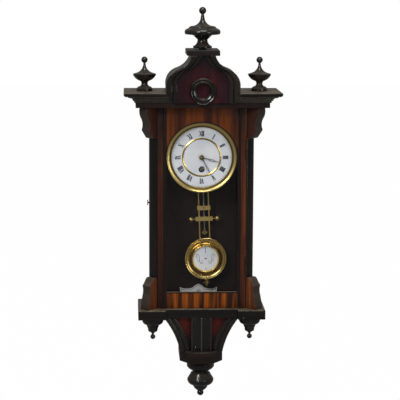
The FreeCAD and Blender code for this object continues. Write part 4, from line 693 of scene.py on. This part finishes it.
def make_pane_glass():
    """Glass for the eye, and nothing at all for lamps and for light that bounces behind it."""
    material, tree, shader, place = new_material("pane_glass")
    film = add_group(tree, CLOUDED_FILM, {"Place": place}, Clouds=GLASS_CLOUDS)
    shader.inputs["Base Color"].default_value = GLASS_TINT
    shader.inputs["Transmission Weight"].default_value = 1.0
    shader.inputs["IOR"].default_value = GLASS_IOR
    shader.inputs["Specular IOR Level"].default_value = GLASS_SPECULAR
    smear = maths(tree, "MULTIPLY", film.outputs["Cloud"], GLASS_SMEAR)
    tree.links.new(smear, shader.inputs["Roughness"])
    clear = tree.nodes.new("ShaderNodeBsdfTransparent")
    path = tree.nodes.new("ShaderNodeLightPath").outputs
    bounced = maths(tree, "MAXIMUM", path["Is Diffuse Ray"], path["Is Glossy Ray"])
    unseen = maths(tree, "MAXIMUM", bounced, path["Is Shadow Ray"])
    pane = mix_shaders(tree, unseen, shader.outputs[0], clear.outputs[0])
    tree.links.new(pane, tree.nodes["Material Output"].inputs[0])
    return material


def make_paint(name, colour, worn, roughness):
    """A thin hard paint or ink that has worn a little."""
    material, tree, shader, film = clouded_material(name, PAINT_CLOUDS, colour, worn)
    rough = maths(tree, "MULTIPLY_ADD", film["Scratch"], PAINT_WEAR, roughness)
    tree.links.new(rough, shader.inputs["Roughness"])
    return material


COLD_WHITE = ((0.93, 0.94, 0.945), (0.74, 0.78, 0.84))
# Near the bezel the enamel turns brownish: painted shade and painted reflection of the brass.
dial_enamel = make_enamel(
    "dial_enamel_white", *COLD_WHITE,
    shade=fade_by_distance(DIAL_PLACE, 0.0695, 0.0735, (0.42, 0.36, 0.22)))
bob_white = make_enamel("bob_enamel_white", *COLD_WHITE)
scale_enamel = make_enamel("scale_enamel_white", (0.95, 0.955, 0.95), (0.84, 0.85, 0.84))
pane_glass = make_pane_glass()
numeral_ink = make_paint("numeral_ink", (0.012, 0.012, 0.024), (0.035, 0.035, 0.055), 0.35)
engraving_wax = make_paint("engraving_wax", (0.03, 0.028, 0.026), (0.07, 0.06, 0.055), 0.4)
print("enamel, ink and glass ready")

# %% [markdown]
# ## A finish for every node
# The frame's nodes keep their shapes. Each one gets its finish in its first
# material slot, which is all that changes on it.

# %% Give each node its finish
NODE_FINISH = {
    inside_wood: ["backboard", "bottom_board", "case_lid"],
    side_veneer: ["case_sides"],
    ebonised_upright: ["corner_posts", "pediment_wall"],
    bead_black: ["door_beads"],
    bracket_veneer: ["corner_brackets"],
    ebonised_across: ["top_board", "plinth", "console_sides"],
    cove_black: ["cornice_moulding"],
    ebonised_turned: [
        "roundel", "top_finial", "side_finials", "bottom_finial", "corner_drops",
        "pediment_moulding"],
    pilaster_black: ["pilaster"],
    wear_and_sheen_black: ["console_mouldings"],
    ebonised_clean: ["pediment_cap"],
    stile_veneer: ["door_stiles"],
    rosewood_stripes: ["door_rails"],
    crimson_panel: ["pediment_panel"],
    console_red: ["console_panel"],
    block_veneer: ["console_block"],
    plate_brass: [
        "movement_frame", "back_cock", "going_barrel", "centre_wheel", "third_wheel",
        "escape_wheel", "minute_wheel", "hour_wheel", "dial_plate", "suspension_cock"],
    bright_brass: ["bob_shell"],
    bezel_brass: ["bezel"],
    satin_brass: ["cross_plates", "rod_frame"],
    ring_brass: ["dial_rings"],
    rod_steel: ["centre_rod"],
    aged_brass: ["rating_nut"],
    hook_brass: ["case_hinges", "door_hinges", "latch_staple", "door_latch"],
    grey_steel: ["winding_arbor", "click", "anchor", "cannon_pinion"],
    hand_bronze: ["hour_hand"],
    blued_steel: ["minute_hand", "suspension_spring"],
    black_iron: ["hanging_plate", "movement_bracket"],
    dial_enamel: ["dial_enamel"],
    bob_white: ["bob_enamel"],
    scale_enamel: ["beat_scale"],
    pane_glass: ["door_glass"],
}


def finish_node(name, material):
    """Puts a material on a node, on all of its faces."""
    mesh = nodes[name].data
    mesh.materials.clear()
    mesh.materials.append(material)
    mesh.polygons.foreach_set("material_index", [0] * len(mesh.polygons))


unfinished = set(nodes)
for finish, finished_nodes in NODE_FINISH.items():
    for node_name in finished_nodes:
        finish_node(node_name, finish)
        unfinished.remove(node_name)
print("nodes with no finish yet:", sorted(unfinished))

# %% [markdown]
# ## Modelling helpers
# The pieces that the frame lacks are modelled as by hand: a primitive is added at
# its size, its faces or edges are picked by where they lie, and an operator shapes
# them. These helpers do the picking and the tidy end of each piece, so the cells
# below can say only what the piece is.

# %% Pick, shape and finish
FACE_ROOM = (math.pi / 2, 0, 0)
FACING = 0.9
SAME_PLACE = 1e-6
SAME_PLANE = 0.005
SMOOTH_ANGLE = 0.6


def only(piece):
    """Makes a piece the only selected and active object."""
    bpy.ops.object.select_all(action="DESELECT")
    piece.select_set(True)
    bpy.context.view_layer.objects.active = piece


def pick(piece, kind, test):
    """In edit mode, selects the faces or edges whose middle and direction pass a test."""
    bpy.ops.mesh.select_mode(type=kind)
    bpy.ops.mesh.select_all(action="DESELECT")
    sheet = bmesh.from_edit_mesh(piece.data)
    for element in {"FACE": sheet.faces, "EDGE": sheet.edges}[kind]:
        if kind == "FACE":
            middle, direction = element.calc_center_median(), element.normal
        else:
            start, end = (point.co for point in element.verts)
            middle, direction = (start + end) / 2, end - start
        if test(middle, direction):
            element.select_set(True)
    sheet.select_flush_mode()
    bmesh.update_edit_mesh(piece.data)


def apply_modifier(piece, kind, **values):
    """Adds a modifier, sets its values and applies it."""
    only(piece)
    modifier = piece.modifiers.new(kind.lower(), kind)
    for label, value in values.items():
        setattr(modifier, label, value)
    bpy.ops.object.modifier_apply(modifier=modifier.name)


def apply_place(piece):
    """Moves a piece's place, turn and size into its mesh."""
    only(piece)
    bpy.ops.object.transform_apply(location=True, rotation=True, scale=True)
    return piece


def copy_piece(piece, name):
    """A copy of a piece with a mesh of its own."""
    twin = piece.copy()
    twin.data = piece.data.copy()
    twin.name = name
    bpy.context.scene.collection.objects.link(twin)
    return twin


def join_pieces(pieces, name):
    """Joins several pieces into one."""
    bpy.ops.object.select_all(action="DESELECT")
    for piece in pieces:
        piece.select_set(True)
    bpy.context.view_layer.objects.active = pieces[0]
    bpy.ops.object.join()
    pieces[0].name = name
    return pieces[0]


def finish_piece(piece, material, body):
    """Gives a piece its finish, its body and its slot, with its place in its mesh."""
    apply_place(piece)
    piece.data.materials.clear()
    piece.data.materials.append(material)
    only(piece)
    bpy.ops.object.mode_set(mode="EDIT")
    bpy.ops.mesh.select_all(action="SELECT")
    bpy.ops.mesh.normals_make_consistent(inside=False)
    bpy.ops.object.mode_set(mode="OBJECT")
    bpy.ops.object.shade_smooth_by_angle(angle=SMOOTH_ANGLE)
    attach(piece, body)


def copy_of_node(node, name):
    """A merged copy of a node's mesh, with its flat faces whole again."""
    piece = copy_piece(nodes[node], name)
    piece.parent = None
    piece.matrix_world = Matrix.Identity(4)
    only(piece)
    bpy.ops.object.mode_set(mode="EDIT")
    bpy.ops.mesh.select_all(action="SELECT")
    bpy.ops.mesh.remove_doubles(threshold=SAME_PLACE)
    bpy.ops.mesh.dissolve_limited(angle_limit=SAME_PLANE)
    bpy.ops.object.mode_set(mode="OBJECT")
    return piece


def front_centre(node):
    """The middle of the face that a node turns to the room."""
    low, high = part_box(node)
    return Vector(((low.x + high.x) / 2, low.y, (low.z + high.z) / 2))


print("modelling helpers ready")

# %% [markdown]
# ## Eased edges
# No cabinet maker leaves a knife-sharp edge: sandpaper and polish round it a little,
# and that narrow round is what catches the light. The frame's nodes have sharp
# edges, so the wooden pieces with long mouldings get a copy whose edges are bevelled,
# and the copy stands for the node. The raised mouldings are rounded much more, as a
# moulding plane would leave them. Turned wood and spun brass only lose the burr that
# the lathe left.

# %% Bevelled copies
TURNED_BURR = 0.0002
SPUN_BURR = 0.0001
EASED = (
    ("case", "ebonised_wood", {
        "corner_posts": 0.0006, "corner_brackets": 0.0006, "cornice_moulding": 0.0005,
        "top_board": 0.0008, "pediment_cap": 0.001, "pediment_moulding": 0.0018,
        "plinth": 0.001, "console_mouldings": 0.0018, "console_block": 0.0008,
        "pilaster": 0.0012}),
    ("door", "rosewood_veneer", {"door_stiles": 0.0005, "door_rails": 0.0005}),
    ("case", "ebonised_wood", dict.fromkeys(
        ("top_finial", "side_finials", "bottom_finial", "corner_drops", "roundel"), TURNED_BURR)),
    ("case", "brass", dict.fromkeys(("bezel", "dial_rings"), SPUN_BURR)),
    ("pendulum", "brass", {"bob_shell": SPUN_BURR}),
)
EASED_ANGLE = math.radians(28)
EASED_SMOOTH_ANGLE = math.radians(40)
EASED_SEGMENTS = 3


def ease_edges(node, body, width):
    """A copy of a node with rounded edges, which stands for the node."""
    piece = copy_of_node(node, node + "_eased")
    apply_modifier(
        piece, "BEVEL", width=width, segments=EASED_SEGMENTS, limit_method="ANGLE",
        angle_limit=EASED_ANGLE, use_clamp_overlap=True, miter_outer="MITER_ARC")
    only(piece)
    bpy.ops.object.shade_smooth_by_angle(angle=EASED_SMOOTH_ANGLE)
    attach(piece, body)
    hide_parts(node)
    return piece


for body_name, slot_name, widths in EASED:
    for node_name, width in widths.items():
        eased = ease_edges(node_name, body_name, width)
        print(node_name, "faces:", len(nodes[node_name].data.polygons), "to", len(eased.data.polygons))

# %% [markdown]
# ## Hour numerals
# The dial has Roman numerals whose feet point at its centre, with IIII for four as
# on most old clocks. They were painted with a thick and a thin stroke and thin
# serifs. Text in a font would give a modern look, so each stroke is modelled as a
# flat strip whose ends are pulled out into serifs, and the letters are then set
# side by side and turned to their hours.

# %% One painted stroke
NUMERAL_HEIGHT = 0.0134
NUMERAL_RADIUS = 0.0573
THICK_STROKE = 0.0024
THIN_STROKE = 0.0013
SERIF_REACH = 0.0005
SERIF_HEIGHT = 0.0004
INK_HEIGHT = 0.00012
DIAL_CENTRE = front_centre("dial_enamel")


def add_serif(stroke, side):
    """Pulls one end of a stroke out into a serif; side is 1 at the head and -1 at the foot."""
    middle = NUMERAL_HEIGHT / 2 - SERIF_HEIGHT * 2
    pick(stroke, "EDGE", lambda m, n: abs(m.z - side * middle) < SAME_PLACE)
    bpy.ops.mesh.extrude_region_move(TRANSFORM_OT_translate={"value": (0, 0, side * SERIF_HEIGHT)})
    chosen = [v.co.x for v in bmesh.from_edit_mesh(stroke.data).verts if v.select]
    width = max(chosen) - min(chosen)
    centre = ((max(chosen) + min(chosen)) / 2, 0, side * (middle + SERIF_HEIGHT))
    grow = (width + 2 * SERIF_REACH) / width
    bpy.ops.transform.resize(value=(grow, 1, 1), center_override=centre)
    bpy.ops.mesh.extrude_region_move(TRANSFORM_OT_translate={"value": (0, 0, side * SERIF_HEIGHT)})


def make_stroke(width, foot_x, head_x):
    """A flat stroke with a serif at its head, and one at its foot unless two strokes meet there."""
    bpy.ops.object.select_all(action="DESELECT")
    bpy.ops.mesh.primitive_plane_add(size=1, rotation=FACE_ROOM)
    stroke = bpy.context.object
    stroke.scale = (width, NUMERAL_HEIGHT - SERIF_HEIGHT * 4, 1)
    apply_place(stroke)
    bpy.ops.object.mode_set(mode="EDIT")
    for side, shift in ((-1, foot_x), (1, head_x)):
        pick(stroke, "EDGE", lambda m, n: m.z * side > 0 and abs(n.z) < SAME_PLACE)
        bpy.ops.transform.translate(value=(shift, 0, 0))
    add_serif(stroke, 1)
    if foot_x == head_x or foot_x != 0:
        add_serif(stroke, -1)
    bpy.ops.object.mode_set(mode="OBJECT")
    return stroke


print("dial centre:", rounded(DIAL_CENTRE))

# %% Three letters
LEAN = 0.0023
LETTER_STROKES = {
    "I": [(THICK_STROKE, 0.0, 0.0)],
    "V": [(THICK_STROKE, 0.0, -LEAN), (THIN_STROKE, 0.0, LEAN)],
    "X": [(THICK_STROKE, LEAN, -LEAN), (THIN_STROKE, -LEAN, LEAN)],
}
LETTER_WIDTHS = {"I": 0.0028, "V": 0.0062, "X": 0.0062}


def make_letter(name):
    """One Roman letter, standing upright round the frame's origin."""
    letter = join_pieces([make_stroke(*stroke) for stroke in LETTER_STROKES[name]], "letter_" + name)
    apply_modifier(letter, "SOLIDIFY", thickness=INK_HEIGHT, offset=0)
    return letter


letters = {name: make_letter(name) for name in LETTER_STROKES}
print("letters:", {name: len(letter.data.polygons) for name, letter in letters.items()})

# %% Twelve numerals round the dial
HOURS = ["I", "II", "III", "IIII", "V", "VI", "VII", "VIII", "IX", "X", "XI", "XII"]
HOUR_TURN = math.radians(30)
OFF_DIAL = 0.00002


def set_numeral(word, hour):
    """Sets a numeral's letters side by side and turns them to their hour."""
    total = sum(LETTER_WIDTHS[letter] for letter in word)
    left = -total / 2
    placed = []
    for letter in word:
        twin = copy_piece(letters[letter], "numeral_letter")
        twin.location = (left + LETTER_WIDTHS[letter] / 2, 0, NUMERAL_RADIUS)
        left += LETTER_WIDTHS[letter]
        placed.append(apply_place(twin))
    numeral = join_pieces(placed, f"numeral_{hour}")
    numeral.rotation_euler = (0, HOUR_TURN * hour, 0)
    numeral.location = DIAL_CENTRE - Vector((0, INK_HEIGHT / 2 + OFF_DIAL, 0))
    return apply_place(numeral)


numerals = join_pieces(
    [set_numeral(word, hour) for hour, word in enumerate(HOURS, start=1)], "hour_numerals")
for letter in letters.values():
    bpy.data.objects.remove(letter)
finish_piece(numerals, numeral_ink, "case")
print("numerals:", len(numerals.data.polygons), "faces")

# %% [markdown]
# ## Minute track
# Outside the numerals runs a ring of sixty painted dots, larger at each hour. One
# dot of each size is modelled as a low dome and copied round the dial.

# %% Sixty dots
DOT_RADIUS = 0.0687
DOT_POINTS = 10
DOT_RIM_SHARE = 0.4
SMALL_DOT = 0.00042
LARGE_DOT = 0.00085
MINUTES = 60
HOUR_STEP = 5


def make_dot(radius):
    """A painted dot: a small disc whose middle is drawn up."""
    bpy.ops.object.select_all(action="DESELECT")
    bpy.ops.mesh.primitive_circle_add(
        vertices=DOT_POINTS, radius=radius, fill_type="NGON", rotation=FACE_ROOM)
    dot = bpy.context.object
    apply_place(dot)
    bpy.ops.object.mode_set(mode="EDIT")
    bpy.ops.mesh.select_all(action="SELECT")
    bpy.ops.mesh.inset(thickness=radius * DOT_RIM_SHARE, depth=INK_HEIGHT)
    bpy.ops.object.mode_set(mode="OBJECT")
    return dot


dot_kinds = {True: make_dot(LARGE_DOT), False: make_dot(SMALL_DOT)}
dots = []
for minute in range(MINUTES):
    dot = copy_piece(dot_kinds[minute % HOUR_STEP == 0], "minute_dot")
    turn = 2 * math.pi * minute / MINUTES
    dot.location = DIAL_CENTRE + Vector(
        (DOT_RADIUS * math.sin(turn), -OFF_DIAL, DOT_RADIUS * math.cos(turn)))
    dots.append(apply_place(dot))
minute_track = join_pieces(dots, "minute_track")
for dot in dot_kinds.values():
    bpy.data.objects.remove(dot)
finish_piece(minute_track, numeral_ink, "case")
print("dots:", len(minute_track.data.polygons), "faces")

# %% [markdown]
# ## Turned discs
# The collet in front of the hands, the arbor's tip in it, the screw and the pins
# were all turned on a lathe. Each starts as a short cylinder, and its front face is
# inset in steps, in and then up or down, just as the tool would cut it.

# %% A disc turned from the front
def turn_disc(name, centre, radius, thickness, steps, sides=40):
    """A short cylinder whose front face is inset step by step; steps are (inset, rise)."""
    bpy.ops.object.select_all(action="DESELECT")
    bpy.ops.mesh.primitive_cylinder_add(vertices=sides, radius=radius, depth=thickness)
    disc = bpy.context.object
    disc.name = name
    bpy.ops.object.mode_set(mode="EDIT")
    pick(disc, "FACE", lambda m, n: n.z > FACING)
    for inset, rise in steps:
        bpy.ops.mesh.inset(thickness=inset, depth=rise)
    bpy.ops.object.mode_set(mode="OBJECT")
    disc.rotation_euler = FACE_ROOM
    disc.location = centre
    return apply_place(disc)


# %% The hands' hub and the arbor's tip in it
HUB_RADIUS = 0.0061
HUB_HEIGHT = 0.0006
HUB_STEPS = (
    (0.0006, 0.0003), (0.0012, 0.0), (0.0004, -0.0004), (0.0014, 0.0), (0.0004, 0.0006),
    (0.0008, 0.0002))
ARBOR_TIP_RADIUS = 0.0019
ARBOR_TIP_HEIGHT = 0.0005
ARBOR_TIP_STEPS = ((0.0003, 0.0002), (0.0006, 0.0001))


def on_hands(front, height):
    """The place of a disc of some height that lies on the hands, in front of a y value."""
    return Vector((DIAL_CENTRE.x, front - height / 2, DIAL_CENTRE.z))


minute_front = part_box("minute_hand")[0].y
hub = turn_disc("hand_hub", on_hands(minute_front, HUB_HEIGHT), HUB_RADIUS, HUB_HEIGHT, HUB_STEPS)
finish_piece(hub, aged_brass, "cannon")
hub_front = min(v.co.y for v in hub.data.vertices)
arbor_tip = turn_disc(
    "arbor_tip", on_hands(hub_front, ARBOR_TIP_HEIGHT), ARBOR_TIP_RADIUS, ARBOR_TIP_HEIGHT,
    ARBOR_TIP_STEPS, sides=24)
finish_piece(arbor_tip, grey_steel, "cannon")
print("hub front:", round(hub_front, 5))

# %% [markdown]
# ## Screw and pins
# A screw holds the beat scale on the backboard. Its head is a turned disc with a
# domed edge, and the slot is cut with a thin bar through a Boolean modifier. Two
# small steel pins hold the pilaster and the plinth from the front, and their heads
# are turned the same way.

# %% The beat scale's slotted screw
SCREW_RADIUS = 0.0024
SCREW_HEIGHT = 0.0008
SCREW_STEPS = (
    (SCREW_RADIUS * 0.12, SCREW_HEIGHT * 0.2), (SCREW_RADIUS * 0.3, SCREW_HEIGHT * 0.15))
SCREW_TURN = 0.5
SCREW_BELOW_TOP = 0.02
SLOT_SIZE = (SCREW_RADIUS * 3, SCREW_HEIGHT, SCREW_RADIUS * 0.22)
SLOT_PLACE = (0, -SCREW_HEIGHT * 0.75, 0)


def make_screw(name, centre):
    """A screw head with its slot, whose underside lies at a place."""
    head = turn_disc(name, Vector((0, 0, 0)), SCREW_RADIUS, SCREW_HEIGHT, SCREW_STEPS, sides=28)
    bpy.ops.object.select_all(action="DESELECT")
    bpy.ops.mesh.primitive_cube_add(size=1)
    bar = bpy.context.object
    bar.scale = SLOT_SIZE
    bar.location = SLOT_PLACE
    apply_place(bar)
    apply_modifier(head, "BOOLEAN", object=bar, operation="DIFFERENCE", solver="EXACT")
    bpy.data.objects.remove(bar)
    head.rotation_euler = (0, SCREW_TURN, 0)
    head.location = centre - Vector((0, SCREW_HEIGHT / 2, 0))
    return apply_place(head)


scale_hole = Vector((
    front_centre("beat_scale").x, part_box("backboard")[0].y,
    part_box("beat_scale")[1].z - SCREW_BELOW_TOP))
scale_screw = make_screw("beat_scale_screw", scale_hole)
finish_piece(scale_screw, black_iron, "case")
print("screw at", rounded(scale_hole))

# %% The case maker's pins
PIN_RADIUS = 0.0011
PIN_HEIGHT = 0.0007
PIN_STEPS = ((0.0002, 0.0001), (0.0004, 0.00012))
pilaster_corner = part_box("pilaster")[0]
plinth_low, plinth_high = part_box("plinth")
PIN_PLACES = {
    "pilaster_pin": pilaster_corner + Vector((0.0095, 0, 0.0115)),
    "plinth_pin": Vector((plinth_high.x - 0.0526, plinth_low.y, plinth_low.z + 0.0045)),
}
for pin_name, pin_place in PIN_PLACES.items():
    pin_place = pin_place - Vector((0, PIN_HEIGHT / 2, 0))
    pin = turn_disc(pin_name, pin_place, PIN_RADIUS, PIN_HEIGHT, PIN_STEPS, sides=16)
    finish_piece(pin, grey_steel, "case")
print("pins:", ", ".join(PIN_PLACES))

# %% [markdown]
# ## Marks on the pendulum's enamel
# The disc in the bob carries thin blue scrollwork, an upright line at the top, a
# short dash with a dot in the middle and a dot at the foot. A scroll is a line that
# bends more and more towards both of its ends. It is drawn as a curve with a round
# section, made a mesh and pressed flat.

# %% A double scroll
SCROLL_POINTS = 61
SCROLL_TURNS = 5.6
SCROLL_HALF_HEIGHT = 0.012
SCROLL_WIDTH_SHARE = 0.72
SCROLL_LINE = 0.0006
SCROLL_MIDDLE_WEIGHT = 1.3
MARK_HEIGHT = 0.0001


def scroll_path():
    """Points of a line whose bend grows evenly to both ends."""
    points = [Vector((0, 0, 0))]
    steps = (SCROLL_POINTS - 1) // 2
    for step in range(steps):
        share = (step + 0.5) / steps
        heading = SCROLL_TURNS * math.pi / 2 * share * share
        points.append(points[-1] + Vector((math.sin(heading), math.cos(heading), 0)))
    tall = max(p.y for p in points)
    points = [p * (SCROLL_HALF_HEIGHT / tall) for p in points]
    return [-p for p in reversed(points[1:])] + points


def make_scroll():
    """A double scroll in the plane that faces the room."""
    data = bpy.data.curves.new("scroll", "CURVE")
    data.dimensions = "3D"
    data.bevel_depth = SCROLL_LINE
    data.bevel_resolution = 1
    spline = data.splines.new("POLY")
    path = scroll_path()
    spline.points.add(len(path) - 1)
    for index, (point, place) in enumerate(zip(spline.points, path)):
        point.co = (place.x, 0, place.y, 1)
        point.radius = SCROLL_MIDDLE_WEIGHT - abs(2 * index / (len(path) - 1) - 1)
    scroll = bpy.data.objects.new("scroll", data)
    bpy.context.scene.collection.objects.link(scroll)
    only(scroll)
    bpy.ops.object.convert(target="MESH")
    scroll = bpy.context.object
    scroll.scale = (1, MARK_HEIGHT / SCROLL_LINE, 1)
    return apply_place(scroll)


scroll = make_scroll()
print("scroll:", rounded(scroll.dimensions))

# %% Place the scrolls, the dots and the lines
PENDULUM_LEAN = math.radians(-2.4)
SCROLLS = ((0.015, 1.0), (0.0195, 0.55))
MARK_DOTS = ((0.0017, 0.0), (0.0012, -0.025))
MARK_DOT_RIM_SHARE = 0.3
TICK_LENGTH = 0.013
TICK_WIDTH = 0.0014
TICKS = ((TICK_LENGTH, 0.0, 0.0215), (TICK_LENGTH / 2, math.pi / 2, 0.0))

marks = []
for side in (-1, 1):
    for place_x, size in SCROLLS:
        twin = copy_piece(scroll, "bob_mark")
        twin.scale = (side * size * SCROLL_WIDTH_SHARE, 1, size)
        twin.location = (side * place_x, 0, 0)
        marks.append(apply_place(twin))
bpy.data.objects.remove(scroll)
for radius, height in MARK_DOTS:
    dot_steps = ((radius * MARK_DOT_RIM_SHARE, MARK_HEIGHT),)
    marks.append(turn_disc(
        "bob_mark", Vector((0, 0, height)), radius, MARK_HEIGHT, dot_steps, sides=12))
for length, turn, height in TICKS:
    line = make_stroke(TICK_WIDTH, 0.0, 0.0)
    apply_modifier(line, "SOLIDIFY", thickness=MARK_HEIGHT, offset=0)
    line.scale = (1, 1, length / line.dimensions.z)
    line.rotation_euler = (0, turn, 0)
    line.location = (0, 0, height)
    marks.append(apply_place(line))
bob_marks = join_pieces(marks, "bob_marks")
bob_marks.rotation_euler = (0, PENDULUM_LEAN, 0)
bob_marks.location = front_centre("bob_enamel") - Vector((0, MARK_HEIGHT, 0))
finish_piece(bob_marks, numeral_ink, "pendulum")
print("marks:", len(bob_marks.data.polygons), "faces")

# %% [markdown]
# ## Engraving on the beat scale
# The plate has a thin line that follows its outline. A copy of the plate's front
# face is inset twice, and only the narrow strip between both insets is kept.

# %% A line inside the outline
LINE_INSET = 0.0022
LINE_WIDTH = 0.0009
LINE_HEIGHT = 0.00006

engraving = copy_of_node("beat_scale", "beat_scale_line")
bpy.ops.object.mode_set(mode="EDIT")
pick(engraving, "FACE", lambda m, n: n.y < -FACING)
bpy.ops.mesh.inset(thickness=LINE_INSET)
bpy.ops.mesh.select_all(action="INVERT")
bpy.ops.mesh.delete(type="FACE")
bpy.ops.mesh.select_all(action="SELECT")
bpy.ops.mesh.inset(thickness=LINE_WIDTH)
bpy.ops.mesh.delete(type="FACE")
bpy.ops.object.mode_set(mode="OBJECT")
apply_modifier(engraving, "SOLIDIFY", thickness=LINE_HEIGHT, offset=1)
finish_piece(engraving, engraving_wax, "case")
print("engraved line:", len(engraving.data.polygons), "faces")
